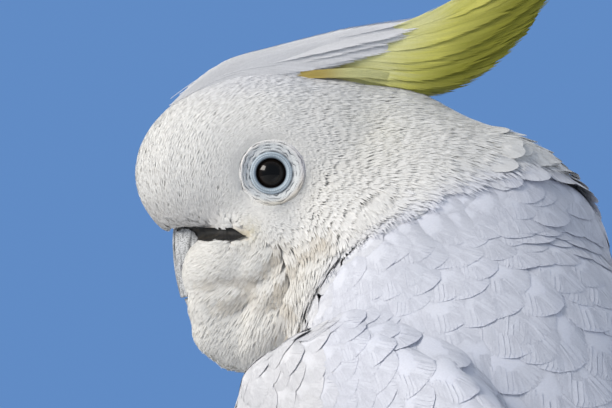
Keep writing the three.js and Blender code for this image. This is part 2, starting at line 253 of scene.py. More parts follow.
def place_tree(places):
    """A search tree over single places, each known by its number."""
    tree = KDTree(len(places))
    for number, place in enumerate(places):
        tree.insert(place, number)
    tree.balance()
    return tree


def grid_faces(rows, columns, flip, closed=True):
    """Triangles of a grid of points, which closes round on itself unless told otherwise."""
    i, j = np.meshgrid(np.arange(rows - 1), np.arange(columns if closed else columns - 1), indexing="ij")
    a, b = i * columns + j, i * columns + (j + 1) % columns
    c, d = a + columns, b + columns
    faces = np.concatenate([np.stack([a, b, c], -1).reshape(-1, 3), np.stack([b, d, c], -1).reshape(-1, 3)])
    return faces[:, ::-1] if flip else faces


def join_nodes(nodes, voxel, swell):
    """One closed surface round these CAD nodes, each first swelled so that they run together."""
    joined = bmesh.new()
    for name in nodes:
        part = bmesh.new()
        part.from_mesh(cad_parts[name].data)
        bmesh.ops.remove_doubles(part, verts=part.verts, dist=1e-6)
        part.normal_update()
        for vertex, normal in [(v, v.normal.copy()) for v in part.verts]:
            vertex.co += normal * swell
        mesh = bpy.data.meshes.new("part")
        part.to_mesh(mesh)
        part.free()
        joined.from_mesh(mesh)
        bpy.data.meshes.remove(mesh)
    mesh = bpy.data.meshes.new("joined")
    joined.to_mesh(mesh)
    joined.free()
    carrier = bpy.data.objects.new("joined", mesh)
    bpy.context.scene.collection.objects.link(carrier)
    remesh = carrier.modifiers.new("join", "REMESH")
    remesh.mode = "VOXEL"
    remesh.voxel_size = voxel
    evaluated = carrier.evaluated_get(bpy.context.evaluated_depsgraph_get())
    points, triangles = mesh_arrays(evaluated.to_mesh())
    evaluated.to_mesh_clear()
    bpy.data.objects.remove(carrier)
    bpy.data.meshes.remove(mesh)
    return points, triangles


def outer_part(points, triangles):
    """Only the largest connected part."""
    label = np.arange(len(points))
    edges = edges_of(triangles)
    while True:
        before = label.copy()
        low = np.minimum(label[edges[:, 0]], label[edges[:, 1]])
        np.minimum.at(label, edges[:, 0], low)
        np.minimum.at(label, edges[:, 1], low)
        label = label[label]
        if np.array_equal(before, label):
            break
    kept = label == np.bincount(label).argmax()
    number = np.cumsum(kept) - 1
    return points[kept], number[triangles[kept[triangles[:, 0]]]]


# ---- The shape of the coat's outside ----

# Pads of cheek plumes that lie over each other like tiles. Each runs from its root to its tip, which
# stands over the next. Root and tip, each forward and up from the eye, half width and height, in mm
CHEEK_PADS = [
    (8, -21, 28, -37, 8.0, 2.4),
    (9, -33, 24.5, -49, 6.5, 2.2),
    (12, -46, 24.5, -59, 7.0, 3.0),
    (8, -48, 17, -66, 6.0, 2.8),
    (-1, -41, 5, -61, 6.4, 2.6),
    (2, -50, 9, -70, 9.0, 2.6),
    (-10, -26, 1, -43, 3.4, 1.9),
    (0, -22, 6, -35, 4.6, 1.7),
    (-18, -26, -8, -46, 4.6, 1.7),
    (-12, -44, -7, -62, 5.0, 1.6),
]
# Furrows between the pads, forward and up from the eye: depth and half width in mm, how strongly tan shade is
# painted in them, and the line
FURROWS = [
    (1.2, 1.8, 0.8, [(3.6, -36.1), (0.9, -32.6), (-2.9, -29.6), (-6.8, -27.3)]),
    (1.3, 2.2, 0.9, [(2, -45.6), (-1.4, -44.9), (-4.9, -39.1), (-6.8, -35.3), (-10.6, -30.7), (-18.2, -25)]),
    (1.2, 1.8, 0.8, [(-3.3, -57.5), (-4.9, -50.6), (-6, -47.5), (-9.1, -45.2)]),
    (1.5, 2.2, 0.8, [(18, -45.5), (13, -46.5), (8.7, -46), (7.9, -40.5)]),
    (0.9, 1.6, 0.5, [(24.7, -38.7), (17, -36.8), (11.7, -37.6), (7.8, -36.8)]),
]


def pad_relief(f, u):
    """Height of the cheek pads, in mm."""
    height = np.zeros_like(f)
    for root_f, root_u, tip_f, tip_u, half, raised in CHEEK_PADS:
        run = np.array([tip_f - root_f, tip_u - root_u], float)
        length = np.hypot(*run)
        run /= length
        along = ((f - root_f) * run[0] + (u - root_u) * run[1]) / length
        across = (-(f - root_f) * run[1] + (u - root_u) * run[0]) / half
        rise = ramp(0, 0.85, along) * (1 - ramp(0.9, 1.2, along))
        edge = 1 - ramp(0.72, 1.05, np.abs(across))
        height = np.maximum(height, raised * rise * edge * (1 - 0.25 * across**2))
    return height


def furrow_marks(f, u):
    """How deep the furrows cut, in mm, and how strongly tan shade is painted in them."""
    deep, furrow_shade = np.zeros_like(f), np.zeros_like(f)
    places = np.stack([f, u], axis=-1)
    for depth, half, share, line in FURROWS:
        line = np.array(line, float)
        nearest = np.full(f.shape, np.inf)
        for a, b in zip(line[:-1], line[1:]):
            run = b - a
            t = np.clip((places - a) @ run / (run @ run), 0, 1)
            nearest = np.minimum(nearest, np.linalg.norm(places - a - t[..., None] * run, axis=-1))
        deep = np.maximum(deep, depth * bump(nearest, half))
        furrow_shade = np.maximum(furrow_shade, share * bump(nearest, half * 1.1))
    return deep, furrow_shade


HOOD_RUN = (0.476, -0.567, 0.68)  # the way up the neck, forward, left and up
HOOD_START = 54  # from the hood's edge to between the eyes, along that way


def hood_edge(points):
    """Distance up the neck from the hood's ragged lower edge, in mm."""
    f, left, u = to_head(points).T
    return HOOD_RUN[0] * f + HOOD_RUN[1] * left + HOOD_RUN[2] * u + HOOD_START


# Heights over the plain solid, in mm
HOOD_RISE = 0.9
CHIN_RISE = 2.4
FOREHEAD_RISE = 0.8
SHOULDER_RISE = 3.2
SOFT_RISE = 0.4
MOUTH_CUT = 2.5


def coat_relief(points):
    """How far the coat's outside stands over the plain solid, in mm."""
    f, left, u = to_head(points).T
    aside = np.abs(left)
    edge = hood_edge(points)
    flank = ramp(5, 10, aside)
    pads = pad_relief(f, u) * flank
    furrow = furrow_marks(f, u)[0] * flank
    hood = ramp(-1.5, 1.5, edge) * (1 - ramp(6, 26, edge)) * HOOD_RISE
    chin = CHIN_RISE * bump(np.hypot(f - 19, u + 27), 8) * (aside > 5)
    slit = bump(u - (MOUTH_LINE + 0.5), 1.7) * ramp(6, 11, f) * (1 - ramp(30, 34, f)) * ramp(5, 9, aside)
    soft = SOFT_RISE * waves(points, 13, 5) * ramp(10, 20, np.hypot(f, u))
    forehead = FOREHEAD_RISE * bump(np.hypot(f - 44, u - 4), 22)
    shoulder = ramp(1, 8, -edge) * (1 - ramp(26, 48, -edge)) * ramp(-62, -36, f) * ramp(5, 15, left)
    return pads + chin - furrow + hood - MOUTH_CUT * slit + soft + forehead + SHOULDER_RISE * shoulder


FAR_FROM_EYES = 99.0


def away_from_eye(points):
    """Distance from the nearer eye's axis in mm and the direction away from it, on the head's sides."""
    f, left, u = to_head(points).T
    radius = np.hypot(f, u)
    outward = (f[:, None] * FORWARD + u[:, None] * UP) / np.maximum(radius, 1e-6)[:, None]
    return np.where(np.abs(left) > 8, radius, FAR_FROM_EYES), outward


FACE_BAND = (13.2, 14.8)  # radii between which the face round an eye is measured
EYE_SECTORS = 24


def shape_round_eyes(points):
    """Lets the flesh dip under the lids and meet the bare ring level with the face round it."""
    f, left, u = to_head(points).T
    radius, angle = np.hypot(f, u), np.arctan2(u, f)
    shaped = left.copy()
    bins = np.linspace(-math.pi, math.pi, EYE_SECTORS + 1)
    for side in (-1, 1):
        own = side * left > 8
        round_it = own & (radius > FACE_BAND[0]) & (radius < FACE_BAND[1])
        total = np.histogram(angle[round_it], bins, weights=side * left[round_it])[0]
        mean = total / np.histogram(angle[round_it], bins)[0]
        face = np.interp(angle, (bins[:-1] + bins[1:]) / 2, mean, period=2 * math.pi)
        level = SOCKET + (face - SOCKET) * ramp(7.0, 10.0, radius)
        kept = ramp(12.4, 13.8, radius)
        shaped = np.where(own, side * (level * (1 - kept) + side * left * kept), shaped)
    return points + MM * (shaped - left)[:, None] * LEFT


FLESH = ["head", "neck", "trunk", "thigh_left", "thigh_right", "wing_left", "wing_right"]
SWELL = 0.6 * MM

outside, outside_faces = join_nodes(FLESH, SKIN_VOXEL * MM, SWELL)
outside, outside_faces = outer_part(outside, outside_faces)
outside_edges = edges_of(outside_faces)

# Where the joined solids are smoothed: the body, the hollow behind the eyes and most of all the collar
from_eyes = np.linalg.norm(to_head(outside) + [8, 0, 12], axis=1)
on_body = ramp(45, 75, from_eyes)
head_f, _, head_u = to_head(outside).T
behind_eyes = ramp(13, 20, np.hypot(head_f, head_u)) * (1 - ramp(-14, -6, head_f))
on_collar = bump(hood_edge(outside), 14) * ramp(28, 40, from_eyes)
broadly = np.maximum(np.maximum(on_body, on_collar), 0.6 * behind_eyes)
for share, rounds in ((0.5, 10), (0.5 * broadly, 90), (0.65 * on_collar, 240)):
    outside = smoothed(outside, outside_edges, share, rounds)
outside = outside - SWELL * 0.8 * normals_of(outside, outside_faces)
outside = shape_round_eyes(outside)
outside = outside + MM * coat_relief(outside)[:, None] * normals_of(outside, outside_faces)
outside = smoothed(outside, outside_edges, 0.5, 4)
outside_normals = normals_of(outside, outside_faces)
outside_tree = tree_of(outside, outside_faces)


def on_outside(points):
    """The nearest places on the coat's outside, with smooth normals."""
    found = np.empty_like(points)
    faces = np.empty(len(points), int)
    for i, point in enumerate(points):
        place, _, face, _ = outside_tree.find_nearest(Vector(point))
        found[i] = place
        faces[i] = face
    return found, unit(outside_normals[outside_faces[faces]].mean(axis=1))


# ---- How the coat lies ----

# Places on the head: forward, left, up; the way the plumes point there; their length. All in the
# head's axes and mm. Places off the midline count on both sides.
HEAD_LIE = [
    ((36, 0, -17), (0.3, 0, 1), 5.5),
    ((45, 0, 2), (-0.1, 0, 1), 8),
    ((38, 0, 22), (-0.7, 0, 0.75), 10),
    ((14, 0, 34), (-1, 0, 0.25), 12),
    ((-20, 0, 34), (-1, 0, 0), 13.5),
    ((36, 12, -2), (-0.12, 0.05, 1), 7.5),
    ((31, 15, -14), (0, 0.1, 1), 5),
    ((22, 19, -15), (-0.1, 0.1, 1), 5),
    ((26, 17, 6), (-0.35, 0.1, 1), 7.5),
    ((22, 14, 22), (-0.75, 0, 0.7), 9.5),
    ((13, 20, -14), (-0.6, 0.1, 0.6), 3.8),
    ((13, 20, 3), (-0.4, 0.1, 1), 4.0),
    ((9, 18, 12), (-0.8, 0, 0.65), 5),
    ((0, 18, 15), (-1, 0, 0.28), 6),
    ((-4, 12, 28), (-1, 0, 0.12), 11.5),
    ((-13, 21, 8), (-1, 0, 0.05), 6),
    ((-14, 22, -4), (-1, 0, -0.2), 6),
    ((-22, 20, 14), (-1, 0, 0.02), 11),
    ((0, 20, -14), (-0.9, 0.1, -0.4), 4.4),
    ((-9, 21, -13), (-0.95, 0, -0.3), 6),
    ((7, 17, -18), (-1, 0.1, -0.15), 3.2),
    ((4, 17, -22), (-0.5, 0.3, -0.9), 3.6),
    ((12, 17, -23), (1, 0, 0.12), 4),
    ((21, 14, -23), (1, -0.2, 0.08), 4.5),
    ((14, 16, -27), (1, 0, -0.2), 7),
    ((24, 13, -27), (1, -0.2, -0.3), 7),
    ((-32, 24, 3), (-1, 0, -0.08), 13),
    ((-38, 24, 16), (-1, 0, -0.1), 13.5),
    ((-26, 25, -12), (-0.95, 0, -0.38), 11.5),
    ((-14, 25, -22), (-0.7, 0, -0.7), 9.5),
    ((4, 19, -28), (0.65, 0.1, -0.6), 8.5),
    ((24, 13, -31), (0.85, -0.1, -0.4), 10.5),
    ((14, 17, -35), (0.75, 0, -0.62), 10.5),
    ((2, 20, -36), (0.5, 0, -0.8), 10.5),
    ((22, 11, -47), (0.7, -0.1, -0.7), 11.5),
    ((10, 16, -48), (0.5, 0, -0.85), 12),
    ((-4, 20, -46), (0.35, 0, -0.92), 12),
    ((14, 9, -60), (0.4, 0, -0.9), 12.5),
    ((4, 12, -64), (0.2, 0, -1), 13.5),
    ((-8, 17, -58), (0.12, 0.1, -1), 14),
    ((12, 0, -60), (0.2, 0, -1), 12),
    ((-20, 25, -32), (-0.35, 0, -0.92), 12.5),
    ((-40, 28, -22), (-0.72, 0, -0.68), 14.5),
    ((-60, 28, -10), (-0.85, 0, -0.5), 16),
    ((-80, 20, 4), (-0.95, 0, -0.3), 18),
    ((-55, 12, 18), (-1, 0, -0.12), 15.5),
    ((-78, 0, 14), (-1, 0, -0.25), 18),
    ((-24, 20, -62), (-0.1, 0.2, -1), 17),
    ((-10, 0, -76), (-0.1, 0, -1), 17),
]

# Places on the body, right across, back and up in the body's own mm.
BODY_LIE = [
    ((0, -80, 150), (0, 0.3, -1), 21),
    ((30, -84, 150), (0.15, 0.5, -1), 21),
    ((0, -68, 110), (0, 0.5, -1), 24),
    ((30, -50, 90), (0.05, 0.6, -1), 24),
    ((0, -20, 70), (0, 0.9, -0.6), 26),
    ((0, 30, 52), (0, 1, -0.25), 28),
    ((0, 80, 44), (0, 1, -0.2), 30),
    ((0, -20, 196), (0, 1, -0.2), 25),
    ((20, 10, 172), (0.05, 1, -0.6), 38),
    ((24, 24, 150), (0.05, 0.9, -0.7), 42),
    ((0, 50, 136), (0, 0.9, -0.7), 42),
    ((0, 84, 92), (0, 0.95, -0.55), 40),
    ((0, 110, 62), (0, 1, -0.3), 36),
    ((38, -70, 145), (0.3, 0.8, -0.7), 17),
    ((58, -40, 160), (0.1, 1, -0.45), 24),
    ((70, -30, 128), (0, 1, -0.4), 24),
    ((60, -68, 134), (0.8, 0.35, -0.5), 17),
    ((52, -70, 120), (0.6, 0.3, -0.8), 18),
    ((66, -60, 112), (0.4, 0.8, -0.6), 18),
    ((66, -58, 150), (0.5, 0.9, -0.4), 18),
    ((56, -66, 96), (0.4, 0.5, -0.8), 20),
    ((66, 10, 110), (-0.1, 1, -0.4), 32),
    ((50, 20, 142), (-0.1, 1, -0.55), 36),
    ((50, 60, 100), (-0.2, 1, -0.5), 36),
    ((38, 96, 74), (-0.25, 1, -0.45), 38),
    ((40, 0, 80), (0, 0.4, -1), 20),
    ((36, 6, 56), (0, 0.2, -1), 16),
    ((28, 8, 40), (0, 0.1, -1), 12),
]


def both_sides(rows, flip):
    """Rows with their mirror rows, for places off the midline."""
    return rows + [
        (tuple(np.multiply(place, flip)), tuple(np.multiply(way, flip)), length)
        for place, way, length in rows
        if abs(np.dot(place, np.less(flip, 0))) > 1
    ]


def lie_table(rows, placed, directed):
    """A table's places on the coat's outside, its ways at length 1 and its lengths."""
    places = placed([row[0] for row in rows])
    return on_outside(places)[0], unit(directed([row[1] for row in rows])), np.array([row[2] for row in rows])


HEAD_TABLE = lie_table(both_sides(HEAD_LIE, (1, -1, 1)), from_head, turned)
BODY_TABLE = lie_table(both_sides(BODY_LIE, (-1, 1, 1)), from_body, lambda rows: np.asarray(rows, float))


LIE_SOFTNESS = 3  # mm round each place of a table where only that place counts


def blend_table(table, points):
    """The lie and the length between a table's places."""
    places, ways, lengths = table
    way = np.zeros_like(points)
    length = np.zeros(len(points))
    total = np.zeros(len(points))
    for place, direction, long in zip(places, ways, lengths):
        squared = np.sum((points - place) ** 2, axis=1) + (LIE_SOFTNESS * MM) ** 2
        weight = 1 / squared**2
        way += weight[:, None] * direction
        length += weight * long
        total += weight
    return unit(way), length / total


def lie_of(points, normals):
    """Which way the coat points at these places."""
    head_way, _ = blend_table(HEAD_TABLE, points)
    body_way, _ = blend_table(BODY_TABLE, points)
    hood = ramp(-6, 3, hood_edge(points))[:, None]
    way = along_surface(head_way * hood + body_way * (1 - hood), normals)
    radius, outward = away_from_eye(points)
    away = np.sum(way * outward, axis=1)
    turned_out = np.maximum(0.1 - away, 0) * (1 - ramp(BARE_RING + 0.5, BARE_RING + 4.5, radius))
    return along_surface(way + turned_out[:, None] * outward, normals)


def length_of(points):
    """Length of the plumes rooted at these places, in mm."""
    _, head_length = blend_table(HEAD_TABLE, points)
    _, body_length = blend_table(BODY_TABLE, points)
    edge = hood_edge(points)
    hood = ramp(-2, 0, edge)
    fringe = ramp(0, 4, edge) * (1 - ramp(12, 22, edge))
    length = head_length * (1 + 0.15 * fringe) * hood + body_length * (1 - hood)
    radius, _ = away_from_eye(points)
    return length * (0.5 + 0.5 * ramp(BARE_RING, BARE_RING + 7, radius))


def depth_of(points):
    """Depth of the coat at these places, in mm."""
    return np.minimum(COAT_SHARE * length_of(points), DEEPEST_COAT)


# ---- The colours of the plumage ----

WHITE = np.array([0.89, 0.88, 0.85])
CREAM = np.array([0.88, 0.84, 0.75])
# Blue-grey painted shade of sky-lit plumage, used on the body, the top of the head and the white quills
SKY_SHADE_BLUE = np.array([0.77, 0.79, 0.885])
EAR_YELLOW = np.array([0.87, 0.83, 0.62])
CROWN_PAINTED_SHADE = np.array([0.74, 0.735, 0.72])
BROW_PAINTED_SHADE = np.array([0.72, 0.69, 0.665])
FURROW_PAINTED_SHADE = np.array([0.63, 0.55, 0.43])
GAPE_OLIVE = np.array([0.52, 0.45, 0.24])
# Middle, forward, left and up, and radius in mm
EAR_PATCHES = [((-34, 24, 15), 11), ((-38, 24, 2), 13), ((-24, 24, -5), 9)]
LEMON_PAINTED_HIGHLIGHT = np.array([0.88, 0.86, 0.40])
LEMON = np.array([0.74, 0.71, 0.15])
OLIVE_PAINTED_SHADE = np.array([0.30, 0.295, 0.03])
GOLD = np.array([0.62, 0.43, 0.08])


UNEVEN_TONE = 0.012  # how much white plumes differ in tone


def mixed(colours, other, share):
    """Each colour moved a share of the way to another."""
    return colours + (other - colours) * np.clip(share, 0, 1)[:, None]


def plumage_colour(points):
    """The markings of the coat and of the skin under it, among them painted shade: bluish sky shade, grey on
    the crown and low brow, tan in the furrows and dark along the mouth slit.
    """
    f, left, u = to_head(points).T
    colours = np.tile(WHITE, (len(points), 1))
    # Painted bluish sky shade over the body below the hood, and more lightly over the top of the head
    colours = mixed(colours, SKY_SHADE_BLUE, 0.9 * (1 - ramp(-14, 2, hood_edge(points))))
    colours = mixed(colours, SKY_SHADE_BLUE, 0.45 * ramp(22, 34, u))
    for centre, size in EAR_PATCHES:
        for side in (-1, 1):
            place = from_head(np.multiply(centre, (1, side, 1)))
            away = np.linalg.norm(points - place, axis=1) / (size * MM)
            colours = mixed(colours, EAR_YELLOW, 0.5 * bump(away, 1) * (0.75 + 0.25 * waves(points, 5, 9)))
    # Painted shade: a grey patch on the crown and behind the eye, where the head lies in shade
    colours = mixed(colours, CROWN_PAINTED_SHADE, 0.75 * bump(np.hypot(f + 26, (u - 10) * 0.75), 19))
    # Painted shade on the underside of the brow above the mouth slit
    low_brow = ramp(14, 20, f) * (1 - ramp(-18, -6, u)) * (u > MOUTH_LINE - 2)
    colours = mixed(colours, BROW_PAINTED_SHADE, 0.6 * low_brow)
    cheek = (1 - ramp(-26, -18, u)) * ramp(-20, -8, f)
    colours = mixed(colours, CREAM, 0.35 * cheek)
    streaked = 0.8 + 0.4 * waves(points, 1.5, 15)
    in_furrow = furrow_marks(f, u)[1] * (np.abs(left) > 5) * (hood_edge(points) > 0)
    # Painted tan shade in the furrows between the cheek pads
    colours = mixed(colours, FURROW_PAINTED_SHADE, 0.85 * streaked * in_furrow)
    gape = bump(np.hypot(f - 7, u + 20), 4.0) * (np.abs(left) > 8)
    colours = mixed(colours, GAPE_OLIVE, 0.65 * gape * (0.6 + 0.6 * waves(points, 1.3, 3)))
    # Painted shade: the plumage darkens to dark olive along the mouth slit
    mouth = bump(u - MOUTH_LINE, 1.3) * ramp(6, 10, f) * (1 - ramp(34, 37, f))
    return mixed(colours, GAPE_OLIVE * 0.5, 0.7 * mouth)


# ---- Materials ----


def new_material(name, **sockets):
    """A Principled material, its plain numbers and colours set on the shader's own sockets."""
    material = bpy.data.materials.new(name)
    material.use_nodes = True
    shader = material.node_tree.nodes["Principled BSDF"]
    for socket, value in sockets.items():
        shader.inputs[socket.replace("_", " ")].default_value = value
    return material, material.node_tree, shader


def object_noise(tree, scale, detail, stretch=(1, 1, 1)):
    """Noise fixed to the piece, its scale in waves to a metre."""
    place = tree.nodes.new("ShaderNodeTexCoord")
    mapping = tree.nodes.new("ShaderNodeMapping")
    mapping.inputs["Scale"].default_value = stretch
    noise = tree.nodes.new("ShaderNodeTexNoise")
    noise.inputs["Scale"].default_value = scale
    noise.inputs["Detail"].default_value = detail
    tree.links.new(place.outputs["Object"], mapping.inputs["Vector"])
    tree.links.new(mapping.outputs["Vector"], noise.inputs["Vector"])
    return noise


def colour_ramp(tree, value, stops):
    node = tree.nodes.new("ShaderNodeValToRGB")
    elements = node.color_ramp.elements
    while len(elements) < len(stops):
        elements.new(0.5)
    for element, (place, colour) in zip(elements, stops):
        element.position = place
        element.color = (*colour, 1)
    tree.links.new(value, node.inputs["Fac"])
    return node


def set_colour(tree, shader, first, second):
    """Gives a shader the product of two colours."""
    mix = tree.nodes.new("ShaderNodeMix")
    mix.data_type = "RGBA"
    mix.blend_type = "MULTIPLY"
    mix.inputs["Factor"].default_value = 1.0
    tree.links.new(first, mix.inputs[6])
    tree.links.new(second, mix.inputs[7])
    tree.links.new(mix.outputs[2], shader.inputs["Base Color"])


def set_roughness(tree, shader, value, low, high):
    """Gives a shader a roughness between low and high that follows a value."""
    node = tree.nodes.new("ShaderNodeMapRange")
    node.inputs["To Min"].default_value = low
    node.inputs["To Max"].default_value = high
    tree.links.new(value, node.inputs["Value"])
    tree.links.new(node.outputs["Result"], shader.inputs["Roughness"])


def add_relief(tree, shader, height, strength, distance):
    node = tree.nodes.new("ShaderNodeBump")
    node.inputs["Strength"].default_value = strength
    node.inputs["Distance"].default_value = distance
    tree.links.new(height, node.inputs["Height"])
    tree.links.new(node.outputs["Normal"], shader.inputs["Normal"])


def painted_material(name, flecks, roughness, relief, **sockets):
    """Takes its colour from the mesh's own markings, with fine flecks over them."""
    material, tree, shader = new_material(name, **sockets)
    marks = tree.nodes.new("ShaderNodeAttribute")
    marks.attribute_name = "plumage"
    noise = object_noise(tree, 1400, 3)
    fleck = colour_ramp(tree, noise.outputs["Fac"], [(0.3, (flecks,) * 3), (0.65, (1, 1, 1))])
    set_colour(tree, shader, marks.outputs["Color"], fleck.outputs["Color"])
    set_roughness(tree, shader, noise.outputs["Fac"], *roughness)
    add_relief(tree, shader, noise.outputs["Fac"], relief, 0.0001)
    return material


PLUMAGE = painted_material(
    "plumage",
    flecks=0.94,
    roughness=(0.6, 0.85),
    relief=0.12,
    Sheen_Weight=0.12,
    Sheen_Roughness=0.5,
    Specular_IOR_Level=0.3,
    Subsurface_Weight=0.22,
    Subsurface_Radius=(1.0, 0.95, 0.9),
    Subsurface_Scale=0.0007,
)
FLESH_SKIN = painted_material(
    "flesh_skin", flecks=0.9, roughness=(0.65, 0.9), relief=0.3, Specular_IOR_Level=0.3
)
LIDS = painted_material(
    "eye_skin", flecks=0.88, roughness=(0.5, 0.75), relief=0.35, Specular_IOR_Level=0.35
)
SCALES = painted_material(
    "leg_scales", flecks=0.7, roughness=(0.5, 0.8), relief=0.4, Specular_IOR_Level=0.4
)


def horn_material(name, dark, pale, stretch, coverage, roughness):
    """Dark horn with pale powder in streaks that run along it."""
    material, tree, shader = new_material(name, Specular_IOR_Level=0.45)
    streaks = object_noise(tree, 700, 6, stretch)
    powder = colour_ramp(tree, streaks.outputs["Fac"], [(coverage, dark), (coverage + 0.24, pale)])
    fine = object_noise(tree, 2600, 3)
    grain = colour_ramp(tree, fine.outputs["Fac"], [(0.36, (0.3,) * 3), (0.52, (1, 1, 1))])
    set_colour(tree, shader, powder.outputs["Color"], grain.outputs["Color"])
    set_roughness(tree, shader, streaks.outputs["Fac"], *roughness)
    add_relief(tree, shader, streaks.outputs["Fac"], 0.35, 0.0003)
    return material


BILL_HORN = horn_material(
    "bill_horn",
    dark=(0.06, 0.063, 0.068),
    pale=(0.62, 0.63, 0.64),
    stretch=(1, 1, 0.2),
    coverage=0.3,
    roughness=(0.45, 0.85),
)
CLAW_HORN = horn_material(
    "claw_horn",
    dark=(0.012, 0.011, 0.011),
    pale=(0.09, 0.085, 0.08),
    stretch=(1, 1, 0.5),
    coverage=0.5,
    roughness=(0.25, 0.5),
)


def eye_material():
    """Near-black with a brown iris that shows only in strong light, under a wet clear coat."""
    material, tree, shader = new_material(
        "eye_wet", Roughness=0.25, Coat_Weight=0.5, Coat_Roughness=0.03, Specular_IOR_Level=0.06
    )
    marks = tree.nodes.new("ShaderNodeAttribute")
    marks.attribute_name = "plumage"
    fibres = object_noise(tree, 2200, 4)
    grain = colour_ramp(tree, fibres.outputs["Fac"], [(0.3, (0.4,) * 3), (0.7, (1, 1, 1))])
    set_colour(tree, shader, marks.outputs["Color"], grain.outputs["Color"])
    return material


EYE_WET = eye_material()

# ---- The skin ----

INSET_ROUNDS = 3
UNDER_COAT = 0.3  # mm that the skin lies below the plumes' roots
SKIN_TINT = (1.0, 0.97, 0.95)


def drawn_in(points, edges, depths):
    """The coat's outside drawn in until every place lies under it by these depths."""
    points = smoothed(points, edges, 0.5 * ramp(2.2, 4, depths / MM), 40)
    for _ in range(INSET_ROUNDS):
        nearest, normals = on_outside(points)
        above = np.sum((points - nearest) * normals, axis=1)
        points = points - np.maximum(above + depths, 0)[:, None] * normals
        points = smoothed(points, edges, 0.5, 3)
    return points


skin_points = drawn_in(outside, outside_edges, MM * (depth_of(outside) + UNDER_COAT))


def unwrap(mesh):
    """Spreads a mesh's own shape on its map."""
    carrier = bpy.data.objects.new("unwrapped", mesh)
    bpy.context.scene.collection.objects.link(carrier)
    bpy.context.view_layer.objects.active = carrier
    carrier.select_set(True)
    mesh.uv_layers.new(name="OFBake")
    bpy.ops.object.mode_set(mode="EDIT")
    bpy.ops.mesh.select_all(action="SELECT")
    bpy.ops.uv.smart_project(angle_limit=math.radians(66), island_margin=0.004)
    bpy.ops.object.mode_set(mode="OBJECT")
    bpy.data.objects.remove(carrier)


skin_mesh = make_mesh("skin", skin_points, outside_faces)
unwrap(skin_mesh)
skin_uv = np.empty(len(skin_mesh.loops) * 2, np.float32)
skin_mesh.uv_layers["OFBake"].data.foreach_get("uv", skin_uv)
face_uv = skin_uv.reshape(-1, 3, 2).mean(axis=1)
paint(skin_mesh, plumage_colour(skin_points) * SKIN_TINT)
show(skin_mesh, FLESH_SKIN, FLESH)
skin_tree = tree_of(skin_points, outside_faces)


def map_places(points):
    """Where these places lie on the skin's map."""
    return np.array([face_uv[skin_tree.find_nearest(Vector(p))[2]] for p in points])


# ---- Plumes ----
# A pattern holds one plume on a unit square: s runs from the root at 0 to the tip at 1, v from edge to
# edge, -1 to 1, and h is the height over the plume's own plane, in half widths.

BARB_STEPS = np.array([0, 0.4, 0.75, 1.0])
BARB_TAPER = np.array([0.9, 1.15, 1.0, 0.0])
BARB_BEND = 1.25  # barbs leave a shaft steeply and bend towards the tip


def barb_strips(starts, ends, bend, halves, tilts, crown, aspect):
    """Pointed strips from starts to ends, (s, v) each, with half widths wide enough to overlap."""
    steps = BARB_STEPS[None, :]
    s = starts[:, 0:1] + (ends - starts)[:, 0:1] * steps**bend
    v = starts[:, 1:2] + (ends - starts)[:, 1:2] * steps
    run_s = np.gradient(s, axis=1) * aspect
    run_v = np.gradient(v, axis=1)
    size = np.hypot(run_s, run_v)
    over_s, over_v = -run_v / size / aspect, run_s / size
    half = halves[:, None] * BARB_TAPER[None, :]
    rows = []
    for sign in (-1, 1):
        edge_s = s + sign * over_s * half
        edge_v = v + sign * over_v * half
        rows.append(np.stack([edge_s, edge_v, sign * tilts[:, None] * half - crown * edge_v**2], axis=-1))
    count, long = s.shape
    points = np.concatenate([rows[0], rows[1][:, :-1]], axis=1)
    faces = []
    for k in range(long - 2):
        faces += [(k, long + k, k + 1), (k + 1, long + k, long + k + 1)]
    faces.append((long - 2, 2 * long - 2, long - 1))
    triangles = np.array(faces)[None] + (np.arange(count) * points.shape[1])[:, None, None]
    return points.reshape(-1, 3), triangles.reshape(-1, 3), np.repeat(np.arange(count), points.shape[1])


TUFT_TILT, TUFT_CROWN, TUFT_ASPECT = 0.06, 0.05, 4.0
TUFT_OVERLAP = 1.5


def pattern_of(points, faces, shade):
    """A pattern from the arrays of its parts."""
    return {"points": np.concatenate(points), "faces": np.concatenate(faces), "shade": np.concatenate(shade)}


def tuft_pattern(own, barbs, spread, ragged):
    """A small plume whose barbs all leave the root together."""
    ends_v = np.linspace(-1, 1, barbs) + own.normal(0, 0.5 / barbs, barbs)
    starts = np.stack([own.uniform(0, 0.05, barbs), ends_v * (1 - spread)], axis=1)
    ends_s = 1 - 0.16 * ends_v**2 - ragged * own.random(barbs)
    ends = np.stack([ends_s, ends_v], axis=1)
    halves = np.full(barbs, TUFT_OVERLAP / barbs)
    tilts = own.normal(0, TUFT_TILT, barbs)
    points, faces, barb = barb_strips(starts, ends, 1.0, halves, tilts, TUFT_CROWN, TUFT_ASPECT)
    shade = (1 + own.normal(0, 0.04, barbs))[barb]
    return pattern_of([points], [faces], [shade])


BARB_HALF = 0.03  # the narrowest barb
SHAFT_END, SHAFT_RISE, SHAFT_TAPER, SHAFT_SHADE = 0.96, 0.9, 0.8, 1.01


